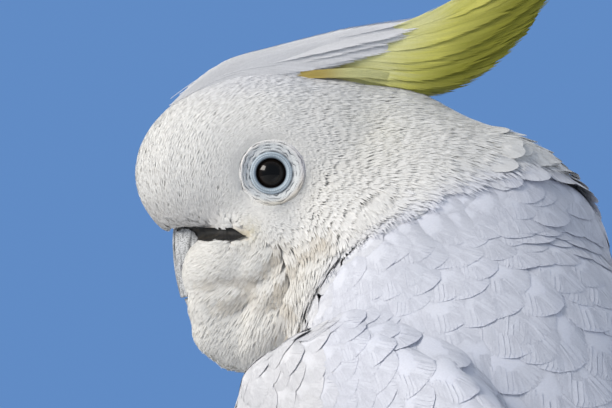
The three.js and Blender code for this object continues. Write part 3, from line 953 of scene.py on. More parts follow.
def vane_pattern(own, barbs, outline, aspect, reach, ragged, tilt, crown, shaft, shaft_rows, overlap=0.72):
    """A larger plume: a shaft with barbs along both sides."""
    points, faces, shade, count = [], [], [], 0
    for side in (-1, 1):
        along = np.linspace(0, 1, barbs)
        start_s = 0.02 + 0.9 * along
        end_s = np.minimum(start_s + reach * (0.75 + 0.25 * along), 1.0)
        end_s = end_s + own.normal(0, ragged, barbs) * (0.4 + along) * 0.5
        end_v = np.interp(np.clip(end_s, 0, 1), outline[:, 0], outline[:, 1])
        end_v = end_v * (1 + own.normal(0, ragged, barbs))
        starts = np.stack([start_s, np.zeros(barbs)], axis=1)
        ends = np.stack([end_s, side * end_v], axis=1)
        middle = (starts + ends) / 2 * [aspect, 1]
        run = (ends - starts) * [aspect, 1]
        over = np.stack([-run[:, 1], run[:, 0]], axis=1)
        over /= np.linalg.norm(over, axis=1, keepdims=True)
        gap = np.abs(np.sum(np.gradient(middle, axis=0) * over, axis=1))
        halves = np.maximum(gap * overlap, BARB_HALF)
        tilts = own.normal(0.1, tilt, barbs)
        p, t, barb = barb_strips(starts, ends, BARB_BEND, halves, tilts, crown, aspect)
        points.append(p)
        faces.append(t + count)
        shade.append((1 + own.normal(0, 0.02, barbs))[barb])
        count += len(p)
    rows = np.linspace(0, SHAFT_END, shaft_rows)
    wide = shaft * (1 - SHAFT_TAPER * rows)
    ridge = np.concatenate([
        np.stack([rows, offset * wide, np.full(shaft_rows, 0.02) + lift * wide], axis=1)
        for offset, lift in ((-1, 0), (0, SHAFT_RISE), (1, 0))
    ])
    points.append(ridge)
    faces.append(grid_faces(3, shaft_rows, False, closed=False) + count)
    shade.append(np.full(len(ridge), SHAFT_SHADE))
    return pattern_of(points, faces, shade)


SHEET_CROWN = 0.06
SHEET_END = 0.985  # the sheet stops short of the tip, where loose barbs take over
SHEET_INSET = 0.96


def closed_vane(own, rows, columns, tips, outline, fringe):
    """A plume whose barbs hold together in one sheet, with loose barb tips round its edge."""
    s = (1 - (1 - np.linspace(0, 1, rows)) ** 1.5)[:, None] * SHEET_END + np.zeros((1, columns))
    v = np.sin(np.linspace(-1, 1, columns) * math.pi / 2)[None, :]
    wavy = 1 + 0.02 * np.sin(s * 19 + own.uniform(0, 6)) * np.abs(v)
    half = np.interp(s, outline[:, 0], outline[:, 1]) * SHEET_INSET * wavy
    sheet = np.stack([s, v * half, -SHEET_CROWN * (v * half) ** 4 + 0 * s], axis=-1).reshape(-1, 3)
    faces = grid_faces(rows, columns, True, closed=False)
    parts, triangles, shade, count = [sheet], [faces], [np.ones(len(sheet))], len(sheet)
    for side in (-1, 1):
        end_s = 1 - (1 - np.linspace(0.3, 0.999, tips)) ** 1.25
        end_v = np.interp(end_s, outline[:, 0], outline[:, 1])
        reach = fringe * own.uniform(0.8, 1.2, tips)
        starts = np.stack([end_s - reach * 0.8, side * np.maximum(end_v - reach * 1.1, 0.02)], axis=1)
        tip_s = end_s + own.normal(0, 0.006, tips)
        tip_v = side * end_v * (1 + own.normal(0, 0.012, tips))
        ends = np.stack([tip_s, tip_v], axis=1)
        halves = np.full(tips, TUFT_OVERLAP / tips)
        p, t, barb = barb_strips(starts, ends, 1.0, halves, own.normal(0, 0.05, tips), 0.0, 3.0)
        p[:, 2] += 0.006 - SHEET_CROWN * p[:, 1] ** 4
        parts.append(p)
        triangles.append(t + count)
        shade.append((1 + own.normal(0, 0.01, tips))[barb])
        count += len(p)
    return pattern_of(parts, triangles, shade)


EDGES = np.array([-1.0, 0.0, 1.0])


def lay(pattern, sheets, outs, half_widths, roots_uv, colour_of):
    """Copies of one pattern over many sheets, each of rows from root to tip by its two edges and middle.

    Returns points, triangles, map places and colours.
    """
    local = pattern["points"]
    v = local[:, 1]
    along = curve_weights(local[:, 0], sheets.shape[1])
    over = np.stack([v * (v - 1) / 2, 1 - v * v, v * (v + 1) / 2], axis=1)
    weights = (along[:, :, None] * over[:, None, :]).reshape(len(local), -1)
    count, each = len(sheets), len(local)
    points = np.matmul(weights[None], sheets.reshape(count, -1, 3))
    out = unit(np.matmul(weights[None], outs.reshape(count, -1, 3)))
    points = points + out * local[None, :, 2:3] * half_widths[:, None, None]
    triangles = pattern["faces"][None] + (np.arange(count) * each)[:, None, None]
    patch = np.stack([v * 0.45, local[:, 0] - 0.5], axis=1) * PATCH
    uv = roots_uv[:, None, :] + patch[None]
    colours = colour_of(points, local) * pattern["shade"][None, :, None]
    return points.reshape(-1, 3), triangles.reshape(-1, 3), uv.reshape(-1, 2), colours.reshape(-1, 3)


def flat_sheets(spines, across, out, half_widths):
    """Sheets that run straight across their spines."""
    reach = across[:, :, None] * (EDGES[:, None] * half_widths[:, None, None, None])
    sheets = spines[:, :, None] + reach
    return sheets, np.broadcast_to(out[:, :, None], sheets.shape)


def gather(parts):
    """Joins what several calls of lay returned."""
    points = np.concatenate([part[0] for part in parts])
    offsets = np.cumsum([0] + [len(part[0]) for part in parts[:-1]])
    triangles = np.concatenate([part[1] + offset for part, offset in zip(parts, offsets)])
    uv = np.concatenate([part[2] for part in parts])
    colours = np.concatenate([part[3] for part in parts])
    return points, triangles, uv, colours


BRIGHTEST = 0.96


def coat_piece(name, parts, replaced=()):
    """A piece of the coat from what calls of lay returned."""
    points, triangles, uv, colours = gather(parts)
    mesh = make_mesh(name, points, triangles)
    add_map(mesh, uv, triangles)
    paint(mesh, np.clip(colours, 0, BRIGHTEST))
    return show(mesh, PLUMAGE, replaced)


# ---- Roots of the coat ----

CANDIDATES = 240_000
# Distance between roots, as a share of the plumes' length
HEAD_SPACING = 0.175
HOOD_SPACING = 0.145
BODY_SPACING = 0.18  # next to the hood
BODY_SPACING_GAIN = 0.06  # further down
LONG_ON_HEAD = 12.6  # mm from which a plume belongs to the hood's spacing


def scatter(count):
    """Places at random over the coat's outside, closer together where the plumes are short."""
    corners = outside[outside_faces]
    area = np.linalg.norm(np.cross(corners[:, 1] - corners[:, 0], corners[:, 2] - corners[:, 0]), axis=1)
    share = area / length_of(corners.mean(axis=1)) ** 2
    chosen = rng.choice(len(corners), count, p=share / share.sum())
    a, b = rng.random((2, count, 1))
    over = a + b > 1
    a, b = np.where(over, 1 - a, a), np.where(over, 1 - b, b)
    picked = corners[chosen]
    points = picked[:, 0] + a * (picked[:, 1] - picked[:, 0]) + b * (picked[:, 2] - picked[:, 0])
    normals = unit(outside_normals[outside_faces[chosen]].mean(axis=1))
    return points, normals


def thinned(points, spacing):
    """Indices of points that keep this distance from each other."""
    tree = place_tree(points)
    free = np.ones(len(points), bool)
    kept = []
    for i, point in enumerate(points):
        if free[i]:
            kept.append(i)
            for _, near, _ in tree.find_range(point, spacing[i]):
                free[near] = False
    return np.array(kept)


SLIT_TOP, SLIT_BOTTOM = MOUTH_LINE + 1.7, MOUTH_LINE - 1.5


def bare(points):
    """True where no plume is rooted: the eye rings, the mouth and what lies inside the bill."""
    f, left, u = to_head(points).T
    radius, _ = away_from_eye(points)
    slit = (u < SLIT_TOP) & (u > SLIT_BOTTOM) & (f > 7.5) & (f < 34)
    inside_bill = (np.abs(left) < 9) & (f > 12) & (u < MOUTH_LINE) & (u > -45)
    angle = np.arctan2(u, f)
    ring = BARE_RING - 0.2 + 0.6 * np.cos(angle) + 0.3 * np.sin(3 * angle)
    return (radius < ring) | slit | inside_bill


candidates, candidate_normals = scatter(CANDIDATES)
wanted = ~bare(candidates)
candidates, candidate_normals = candidates[wanted], candidate_normals[wanted]
lengths = length_of(candidates)
edge = hood_edge(candidates)
body_share = BODY_SPACING + BODY_SPACING_GAIN * ramp(8, 34, -edge)
share = np.where(edge < 0, body_share, np.where(lengths > LONG_ON_HEAD, HOOD_SPACING, HEAD_SPACING))
chosen = thinned(candidates, MM * lengths * share)
roots, root_normals = candidates[chosen], candidate_normals[chosen]
lengths, edge = lengths[chosen], edge[chosen]

# ---- Clumps, and the run of each plume ----

CLUMP = 1.35  # radius of a clump, in lengths of its plumes
CLUMP_AIM = 1.3  # how far ahead of a clump's middle its plumes lean together, in lengths
SHINGLE = 0.036  # how deep a plume's root lies under its tip, as a share of its length
SMOOTH_SHINGLE = 0.007  # the same on the body, where the coat is sleek
LAP = 0.02  # how far one edge of a plume lies over the other, as a share of its half width
CLUMP_LIFT = 0.15  # how unevenly clumps stand up, as a share of their plumes' lift
PLUME_LIFT = 0.2  # the same from plume to plume
SWAY = 0.05  # slow turns of the lie, in radians
STEADY = 0.9  # how much of its heading a plume keeps from row to row
ROOT_CURVE = 3.5  # how soon a plume comes up out of the skin


def clumps_of(points, spacing):
    """For each root, the middle of the clump that it belongs to and the clump's number."""
    tree = place_tree(points[thinned(points, spacing)])
    found = [tree.find(point) for point in points]
    return np.array([place for place, _, _ in found]), np.array([number for _, number, _ in found])


def lift_of(points):
    """How far the plumes' tips stand over the coat's outside, in mm."""
    f, _, u = to_head(points).T
    edge = hood_edge(points)
    on_hood = ramp(-1, 0, edge)
    cheek = (1 - ramp(-32, -24, u)) * ramp(-22, -10, f)
    fringe = ramp(0, 3, edge) * (1 - ramp(8, 16, edge))
    nape = (1 - ramp(-70, -55, f)) * ramp(-12, 4, u)
    frayed = (1 - ramp(-60, -44, u)) * ramp(-8, 6, f)
    head = 0.04 + 0.08 * cheek + 0.1 * (1 - ramp(-50, -30, f)) + 0.45 * fringe + 0.9 * frayed
    return head * on_hood + 0.02 * (1 - on_hood) + 1.6 * nape


def run_sheets(starts, normals, long, halves, rows, stiffness, lift, depth, draw_in, twist):
    """Sheets from the skin up through the coat, along its lie and bent to it. Sizes in metres."""
    middles, number = clumps_of(starts, long * CLUMP)
    angle = rng.normal(0, twist, len(starts)) + SWAY * waves(starts, 9, 21)
    place, normal = starts.copy(), normals.copy()
    heading = None
    step = (long / (rows - 1))[:, None]
    sheets, outs = [], []
    for row in range(rows):
        way = lie_of(place, normal)
        pull = (middles - place) + way * long[:, None] * CLUMP_AIM
        way = along_surface(way + draw_in * unit(pull), normal)
        across = np.cross(way, normal)
        way = unit(way * np.cos(angle)[:, None] + across * np.sin(angle)[:, None])
        heading = way if heading is None else unit(heading * STEADY + way)
        across = unit(np.cross(normal, heading)) * halves[:, None]
        left, left_normal = on_outside(place - across)
        right, right_normal = on_outside(place + across)
        sheets.append(np.stack([left, place, right], axis=1))
        outs.append(np.stack([left_normal, normal, right_normal], axis=1))
        if row < rows - 1:
            guess = place + heading * step
            landed, normal = on_outside(guess)
            place = landed + (guess - landed) * stiffness
    sheets, outs = np.stack(sheets, axis=1), np.stack(outs, axis=1)
    t = np.linspace(0, 1, rows)[None, :, None]
    clump_lift = np.random.default_rng(77).normal(0, CLUMP_LIFT, number.max() + 1)[number]
    raised = lift * (1 + rng.normal(0, PLUME_LIFT, len(starts)) + clump_lift)
    sleek = 1 - ramp(-8, 0, hood_edge(starts))
    shingle = ((SHINGLE + (SMOOTH_SHINGLE - SHINGLE) * sleek) * long)[:, None, None] * (1 - t)
    lapped = (LAP * (1 - 0.6 * sleek) * halves)[:, None, None] * EDGES
    height = -depth[:, None, None] * (1 - t) ** ROOT_CURVE - shingle + raised[:, None, None] * t**2 + lapped
    return sheets + outs * height[..., None], outs


def coat_colours(darker_root):
    """Colours by place, with painted shade towards each root."""

    def colour_of(points, local):
        count, each = points.shape[:2]
        middle = points[:, each // 2]
        base = plumage_colour(middle)[:, None, :]
        tone = 1 + rng.normal(0, UNEVEN_TONE, (count, 1, 1))
        # Painted shade: each plume darker towards its root, where the plumes over it shade it
        return base * tone * (1 - darker_root * (1 - local[None, :, 0:1]) ** 2)

    return colour_of


def crosses_mouth(sheets):
    """True for plumes that would lie across the slit between brow and cheek."""
    f, left, u = to_head(sheets.reshape(-1, 3)).T
    inside = (np.abs(u - MOUTH_LINE) < 1.05) & (f > 8) & (f < 33) & (np.abs(left) > 5)
    return inside.reshape(len(sheets), -1).any(axis=1)


def lay_coat(index, patterns, rows, stiffness, half_share, darker_root, draw_in, twist, sunk=0.0):
    """Plumes at these roots, with a pattern picked at random for each."""
    long = MM * lengths[index] * rng.uniform(0.88, 1.1, len(index))
    lift = MM * (lift_of(roots[index]) - sunk * ramp(-3, 1, edge[index]))
    depth = np.minimum(COAT_SHARE * long, DEEPEST_COAT * MM) + 0.1 * MM
    halves = long * half_share * rng.uniform(0.8, 1.15, len(long))
    sheets, outs = run_sheets(
        roots[index], root_normals[index], long, halves, rows, stiffness, lift, depth, draw_in, twist
    )
    uv = map_places(roots[index])
    pick = rng.integers(len(patterns), size=len(index))
    pick[crosses_mouth(sheets)] = -1
    parts = []
    for number, pattern in enumerate(patterns):
        mine = pick == number
        if mine.any():
            parts.append(
                lay(pattern, sheets[mine], outs[mine], halves[mine], uv[mine], coat_colours(darker_root))
            )
    return parts


def split(name, index, patterns, **how):
    """As many pieces as keep each under its limit, each a band from the bill to the tail."""
    pieces = max(1, math.ceil(len(index) * len(patterns[0]["faces"]) / LARGEST_PIECE))
    order = index[np.argsort(roots[index, 1])]
    for number, band in enumerate(np.array_split(order, pieces)):
        label = name if pieces == 1 else f"{name}_{number + 1}"
        coat_piece(label, lay_coat(band, patterns, **how))


pattern_rng = np.random.default_rng(40)
FACE_TUFTS = [tuft_pattern(pattern_rng, 11, spread=0.45, ragged=0.4) for _ in range(8)]
HEAD_TUFTS = [tuft_pattern(pattern_rng, 15, spread=0.35, ragged=0.3) for _ in range(8)]
HOOD_TUFTS = [tuft_pattern(pattern_rng, 19, spread=0.3, ragged=0.35) for _ in range(8)]
# Outlines give the half width from root to tip
SOFT_OUTLINE = np.array([(0, 0.35), (0.1, 0.6), (0.3, 0.9), (0.6, 1.0), (0.8, 0.93), (0.92, 0.68), (1, 0.12)])
NAPE_PLUMES = [closed_vane(pattern_rng, 10, 7, 20, SOFT_OUTLINE, fringe=0.3) for _ in range(6)]
COVERTS = [closed_vane(pattern_rng, 12, 7, 26, SOFT_OUTLINE, fringe=0.28) for _ in range(6)]

LONGEST_ON_FACE, LONGEST_ON_CROWN = 8.2, 13.6
NAPE_START = -60  # forward from the eyes
NAPE_SHARE = 0.35  # of the roots behind there that carry a larger plume
COVERTS_UNDER_HOOD = 10  # mm that the body's coverts reach up under the hood
UNDER_HOOD_SHARE = 0.4  # of the roots there that carry one

on_hood = edge >= 0
under_hood = on_hood & (edge < COVERTS_UNDER_HOOD) & (rng.random(len(edge)) < UNDER_HOOD_SHARE)
nape_roots = on_hood & (to_head(roots)[:, 0] < NAPE_START) & (rng.random(len(edge)) < NAPE_SHARE)
face = np.flatnonzero(on_hood & (lengths <= LONGEST_ON_FACE))
crown = np.flatnonzero(on_hood & (lengths > LONGEST_ON_FACE) & (lengths <= LONGEST_ON_CROWN))
hood = np.flatnonzero(on_hood & (lengths > LONGEST_ON_CROWN) & ~nape_roots)
nape = np.flatnonzero(nape_roots)
body = np.flatnonzero(~on_hood | under_hood)

split("coat_face", face, FACE_TUFTS, rows=4, stiffness=0.08, half_share=0.23,
      darker_root=0.05, draw_in=0.04, twist=0.05)
split("coat_head", crown, HEAD_TUFTS, rows=5, stiffness=0.08, half_share=0.22,
      darker_root=0.06, draw_in=0.06, twist=0.05)
split("coat_hood", hood, HOOD_TUFTS, rows=5, stiffness=0.1, half_share=0.22,
      darker_root=0.08, draw_in=0.12, twist=0.06)
split("coat_nape", nape, NAPE_PLUMES, rows=5, stiffness=0.15, half_share=0.34,
      darker_root=0.08, draw_in=0.0, twist=0.06)
split("coat_body", body, COVERTS, rows=6, stiffness=0.06, half_share=0.36,
      darker_root=0.05, draw_in=0.0, twist=0.07, sunk=1.8)

# ---- The crest ----
# The folded crest's outlines on the midline, forward and up from the eyes, from the brow to the tip.

CREST_LOWER = [
    (33, 22), (12, 30), (-12, 32), (-32, 31.5), (-50, 27.5), (-66, 31), (-82, 41.5), (-96, 57), (-107, 79)
]
CREST_UPPER = [
    (36, 24), (18, 36), (-2, 41), (-26, 47.2), (-47, 52.5), (-65, 60), (-80, 68.5), (-93, 75.5), (-107, 80)
]

# Feathers: height between the outlines, start and end along them, mm from the midline, degrees that
# the vane tilts from level, half width. Each stands on both sides, but for those on the midline.
CREST_WHITE = [
    (0.50, 0.00, 0.37, 6.4, 84, 4.2),
    (0.58, 0.02, 0.43, 6.4, 81, 4.6),
    (0.67, 0.04, 0.475, 6.1, 77, 4.8),
    (0.76, 0.06, 0.52, 5.5, 71, 4.8),
    (0.84, 0.04, 0.55, 4.7, 62, 4.8),
    (0.91, 0.06, 0.58, 3.9, 46, 4.6),
    (0.97, 0.02, 0.60, 0.0, 0, 4.4),
    (0.82, 0.10, 0.50, 0.0, 0, 5.0),
    (0.66, 0.12, 0.47, 3.4, 82, 4.6),
    (0.84, 0.12, 0.50, 2.4, 58, 4.4),
]
CREST_YELLOW = [
    (0.12, 0.16, 0.50, 6.7, 86, 1.7),
    (0.12, 0.24, 0.74, 3.0, 86, 5.0),
    (0.24, 0.25, 0.82, 3.8, 85, 5.6),
    (0.36, 0.24, 0.88, 4.3, 84, 6.0),
    (0.48, 0.25, 0.94, 4.5, 82, 6.2),
    (0.60, 0.28, 1.00, 4.4, 79, 6.2),
    (0.72, 0.34, 0.98, 4.0, 75, 6.0),
    (0.84, 0.40, 0.96, 3.4, 65, 5.2),
    (0.93, 0.48, 0.94, 2.6, 48, 4.4),
    (0.97, 0.51, 0.97, 0.0, 0, 3.8),
]
CREST_ROWS = 12
CREST_OUTLINE = np.array([
    (0, 0.25), (0.15, 0.55), (0.4, 0.9), (0.62, 1.0), (0.8, 0.85), (0.92, 0.5), (1, 0.12)
])
CREST_VANE = {
    "outline": CREST_OUTLINE,
    "aspect": 11,
    "crown": 0.05,
    "shaft": 0.03,
    "shaft_rows": 16,
    "overlap": 1.3,
}
WHITE_CREST_PATTERNS = [
    vane_pattern(pattern_rng, 90, reach=0.3, ragged=0.015, tilt=0.04, **CREST_VANE) for _ in range(4)
]
YELLOW_CREST_PATTERNS = [
    vane_pattern(pattern_rng, 110, reach=0.34, ragged=0.05, tilt=0.06, **CREST_VANE) for _ in range(5)
]
CREST_SPREAD = [0.8, 1.05, 1.08, 0.85, 0.4]  # from root to tip, in shares of the place off the midline


def crest_spine(height, start, end, off, tilt, side):
    """One crest feather's spine with its directions across and out."""
    along = start + (end - start) * np.linspace(0, 1, CREST_ROWS)
    lower, upper = on_curve(CREST_LOWER, along), on_curve(CREST_UPPER, along)
    height = height + 0.02 * np.sin(along * 9 + height * 20)
    flat = lower + (upper - lower) * np.asarray(height)[:, None]
    spread = off * on_curve(CREST_SPREAD, np.linspace(0, 1, CREST_ROWS))
    spine = from_head(np.stack([flat[:, 0], side * spread, flat[:, 1]], axis=1))
    run = unit(np.gradient(spine, axis=0))
    above = unit(np.cross(np.tile(LEFT, (CREST_ROWS, 1)), run))
    above *= np.sign(above @ UP)[:, None]
    lean = math.radians(tilt)
    out = math.cos(lean) * above + side * math.sin(lean) * LEFT
    return spine, unit(np.cross(out, run)), out


def crest_colours(points, local):
    """Painted highlight in pale lemon on top, then lemon, painted olive shade towards the tips and the lower
    edge, and gold at the base.
    """
    f, _, u = to_head(points.reshape(-1, 3)).T
    # Painted light: paler towards the top, darker olive down and back towards the lower edge and tips
    down = -0.75 * f - 0.66 * u + 2.5 * waves(points.reshape(-1, 3) * [1, 1, 2], 9, 41)
    tone = 1 + rng.normal(0, 0.07, (len(points), 1, 1))
    colours = mixed(np.tile(LEMON_PAINTED_HIGHLIGHT, (len(f), 1)), LEMON, ramp(4, 13, down))
    colours = mixed(colours, OLIVE_PAINTED_SHADE, ramp(12, 24, down))
    colours = mixed(colours, GOLD, 0.85 * ramp(-27, -16, f))
    streak = 1 + 0.06 * np.sin(local[:, 1] * 23 + local[:, 0] * 9)
    return colours.reshape(points.shape) * tone * streak[None, :, None]


def white_colours(sky_shade, darker_root):
    """Colours of white quills, each of its own tone, tinted with painted bluish sky shade and with painted
    shade towards the root.
    """

    def colour_of(points, local):
        tone = 1 + rng.normal(0, UNEVEN_TONE, (len(points), 1, 1))
        white = np.broadcast_to((WHITE * (1 - sky_shade) + SKY_SHADE_BLUE * sky_shade) * tone, points.shape)
        return white * (1 - darker_root * (1 - local[None, :, 0:1]))

    return colour_of


def feather_piece(name, made, patterns, half_widths, colour_of, replaced, map_step):
    """A piece of feathers with spines of their own, each with the next pattern and a patch of its own."""
    spines, across, out = (np.stack(column) for column in zip(*made))
    sheets, outs = flat_sheets(spines, across, out, half_widths)
    roots_uv = map_places(spines[:, 0]) + np.arange(len(made))[:, None] * map_step
    parts = []
    for i in range(len(made)):
        one = slice(i, i + 1)
        pattern = patterns[i % len(patterns)]
        parts.append(lay(pattern, sheets[one], outs[one], half_widths[one], roots_uv[one], colour_of))
    coat_piece(name, parts, replaced)


# How much the feathers of a row differ in height, end and tilt
UNEVEN_HEIGHT, UNEVEN_END, UNEVEN_TILT = 0.015, 0.012, 3


def crest_piece(name, rows, patterns, colour_of, node):
    """One half of the crest, in place of its CAD node."""
    made, half_widths = [], []
    for height, start, end, off, tilt, half in rows:
        for side in ((-1, 1) if off else (0,)):
            own_height = height + rng.normal(0, UNEVEN_HEIGHT)
            own_end = end + rng.normal(0, UNEVEN_END)
            own_tilt = tilt + rng.normal(0, UNEVEN_TILT)
            made.append(crest_spine(own_height, start, own_end, off, own_tilt, side))
            half_widths.append(half * MM)
    feather_piece(name, made, patterns, np.array(half_widths), colour_of, [node], [0.0, PATCH])


CREST_COLOURS = white_colours(sky_shade=0.4, darker_root=0.06)
crest_piece("crest_white", CREST_WHITE, WHITE_CREST_PATTERNS, CREST_COLOURS, "crest_front")
crest_piece("crest_yellow", CREST_YELLOW, YELLOW_CREST_PATTERNS, crest_colours, "crest_back")

# ---- Flight feathers and tail ----

FLIGHT_OUTLINE = np.array([
    (0, 0.35), (0.1, 0.6), (0.3, 0.92), (0.7, 1.0), (0.88, 0.9), (0.96, 0.6), (1, 0.2)
])
FLIGHT_PATTERNS = [
    vane_pattern(
        pattern_rng,
        70,
        FLIGHT_OUTLINE,
        aspect=9,
        reach=0.075,
        ragged=0.008,
        tilt=0.1,
        crown=0.12,
        shaft=0.05,
        shaft_rows=18,
    )
    for _ in range(4)
]
FLIGHT_COLOURS = white_colours(sky_shade=0.6, darker_root=0.08)
# Root, root step, tip, tip step, bow and half width; steps and counts are from one feather to the next
SECONDARIES = ((41, 46, 106), (1.6, 1.3, -10), (11, 141, 57), (3.2, 3.3, -4.8), (3.5, 0, 4), 11.5)
PRIMARIES = ((40, 58, 80), (0.5, 2.7, -8), (13.5, 160, 40), (-0.8, 12, -5.3), (0.5, 0, -1), 9)
CAD_FLIGHTS = 4
FLIGHT_ROWS = 9
# The way across a folded feather at its root and at its tip
FLIGHT_SIDE, FLIGHT_SIDE_END = np.array([-0.35, 0.2, 0.9]), np.array([-0.75, 0.2, 0.6])


def directions_on(spine, across):
    """The directions across a feather and out of it, square to its spine."""
    run = unit(np.gradient(spine, axis=0))
    across = along_surface(across, run)
    return across, unit(np.cross(run, across))


def flight_spine(rows, place, side):
    """The spine of a flight feather at a place among its neighbours, counted as in the solid."""
    root, root_step, tip, tip_step, bow, _ = (np.array(row, float) for row in rows)
    start, end = root + root_step * place, tip + tip_step * place
    middle = (start + end) / 2 + bow
    spine = on_curve([start, middle, end], np.linspace(0, 1, FLIGHT_ROWS))
    mirror = np.array([side, 1, 1])
    t = np.linspace(0, 1, FLIGHT_ROWS)[:, None]
    across = unit((FLIGHT_SIDE * (1 - t) + FLIGHT_SIDE_END * t) * mirror)
    spine = from_body(spine * mirror)
    across, out = directions_on(spine, across)
    outward = out @ np.array([side, 0, 0.6])
    return spine, across, out * np.sign(outward)[:, None]


def flights(name, rows, node):
    """The flight feathers of both folded wings, in place of their CAD nodes."""
    for side, label in SIDES:
        places = np.linspace(0, CAD_FLIGHTS - 1, FLIGHT_PLUMES)
        made = [flight_spine(rows, place, side) for place in places]
        half_widths = np.full(len(made), rows[-1] * MM)
        feather_piece(f"{name}_{label}", made, FLIGHT_PATTERNS, half_widths, FLIGHT_COLOURS,
                      [f"{node}_{label}"], [PATCH, 0.0])


flights("secondary_feathers", SECONDARIES, "secondaries")
flights("primary_feathers", PRIMARIES, "primaries")

TAIL_BACK, TAIL_HIGH = 62, 58  # where the tail is rooted
TAIL_SLOPE = math.radians(17)
TAIL_LENGTH = 172
TAIL_ROUNDING = 0.7  # how much shorter the outer pairs are, times the square of their number
TAIL_HALF_WIDTH = 11
TAIL_TURN = 0.6  # degrees that the middle pair turns out; each pair after it turns 1 more
TAIL_OFF, TAIL_OFF_STEP = 2.5, 1.1  # from the midline at the root
TAIL_STACK = 1.15  # how far each pair lies under the one before
TAIL_ARCH = 0.06  # how much each vane falls away from the midline


def tail_spine(pair, side):
    """The spine of a tail feather, counted in pairs from the middle."""
    turn = math.radians(TAIL_TURN + pair)
    long = TAIL_LENGTH - TAIL_ROUNDING * pair * pair
    t = np.linspace(0, 1, FLIGHT_ROWS)
    x = side * (TAIL_OFF + pair * TAIL_OFF_STEP + math.sin(turn) * long * t)
    y = TAIL_BACK + math.cos(turn) * math.cos(TAIL_SLOPE) * long * t
    z = TAIL_HIGH - pair * TAIL_STACK - math.sin(TAIL_SLOPE) * long * t
    spine = from_body(np.stack([x, y, z], axis=1))
    across, out = directions_on(spine, np.tile([1.0, 0, -TAIL_ARCH * side], (FLIGHT_ROWS, 1)))
    return spine, across, out * np.sign(out[:, 2:3])


tail = [tail_spine(pair, side) for pair in range(TAIL_PLUMES // 2) for side in (-1, 1)]
tail_half_widths = np.full(len(tail), TAIL_HALF_WIDTH * MM)
feather_piece("tail_feathers", tail, FLIGHT_PATTERNS, tail_half_widths, FLIGHT_COLOURS,
              ["tail"], [PATCH, 0.0])

# ---- Eyes and their bare rings ----

BALL_MIDDLE, BALL_RADIUS = 18.7, 6.5  # out from the midline
IRIS = 4.9
# From the eye's opening out over the lids: radius and distance from the midline
RING_PROFILE = np.array([
    (4.9, 22.9), (5.0, 23.7), (5.3, 24.3), (5.9, 24.75), (6.6, 24.7),
    (7.1, 24.3), (8.2, 24.1), (9.6, 23.7), (11.2, 23.1),
])
AROUND = 240
PUPIL_BLACK = np.array([0.001, 0.001, 0.001])
IRIS_BROWN = np.array([0.012, 0.007, 0.004])
IRIS_RIM = np.array([0.002, 0.002, 0.002])


def ring_points(radii, outs, angles, side):
    """Points round an eye's axis: radius and distance out, one row for each."""
    f = radii * np.cos(angles)
    u = radii * np.sin(angles)
    return from_head(np.stack([f, side * outs, u], axis=-1))


def eyeball(side, label):
    """A ball with the cornea's slight bulge over the iris."""
    rows, around = 40, 72
    lean = np.linspace(0.001, math.pi, rows)[:, None]
    angle = angles_round(around)[None, :]
    bulge = 0.35 * bump(lean, 0.55)
    radii = (BALL_RADIUS + bulge * 0.2) * np.sin(lean) + 0 * angle
    outs = BALL_MIDDLE + (BALL_RADIUS + bulge) * np.cos(lean) + 0 * angle
    points = ring_points(radii, outs, angle + 0 * lean, side).reshape(-1, 3)
    faces = grid_faces(rows, around, side > 0)
    mesh = make_mesh(f"eyeball_{label}", points, faces)
    reach = radii.ravel() / IRIS
    front = (lean + 0 * angle).ravel() < math.pi / 2
    colours = np.tile(PUPIL_BLACK, (len(points), 1))
    colours = mixed(colours, IRIS_BROWN, ramp(0.55, 0.72, reach) * front)
    colours = mixed(colours, IRIS_RIM, ramp(0.88, 1.0, reach))
    paint(mesh, colours)
    show(mesh, EYE_WET, [f"eye_{label}"])


FOLDS = 4.6  # rings of wrinkles across the bare skin
LID_BEADS = 58
LID_EDGE = 7.15  # where the lids' beaded rim meets the wrinkled skin
LID_OUTSIDE = 13.0
RIM = 12.0  # where the face round the ring is measured
RIM_WAVES = 8  # the finest waves of the face that the ring follows
LEAN = 0.11  # how far the ring's plane leans forward, from mm to mm
LID_PALE = np.array([0.78, 0.77, 0.75])
LID_BLUE = np.array([0.38, 0.48, 0.56])
LID_CREASE_SHADE = np.array([0.07, 0.075, 0.09])
LID_PURPLE = np.array([0.30, 0.30, 0.36])
LID_TAN = np.array([0.52, 0.47, 0.36])
LID_FLECK = np.array([0.72, 0.76, 0.79])


def swirls(own, low, high, count, angle, radii, twist):
    """Noise round the eye from waves that turn low to high times."""
    total = 0
    for _ in range(count):
        turns = own.integers(low, high)
        total = total + np.sin(turns * angle + own.uniform(-twist, twist) * radii + own.uniform(0, 6.3))
    return total / math.sqrt(count)


BESIDE_HEAD = 60.0


def seen_height(f, u, side):
    """How far out from the midline the coat's outside stands on this side, or 0 where there is none."""
    found = []
    for start in from_head(np.stack([f, side * BESIDE_HEAD + 0 * f, u], axis=-1)):
        place = outside_tree.ray_cast(Vector(start), Vector(-side * LEFT))[0]
        found.append(side * to_head(np.array(place))[1] if place else 0.0)
    return np.array(found)


def rim_height(angles, side):
    """The height of the face round a bare ring, for each angle."""
    wide = np.fft.rfft(seen_height(RIM * np.cos(angles), RIM * np.sin(angles), side))
    wide[RIM_WAVES + 1 :] = 0
    return np.fft.irfft(wide, len(angles))


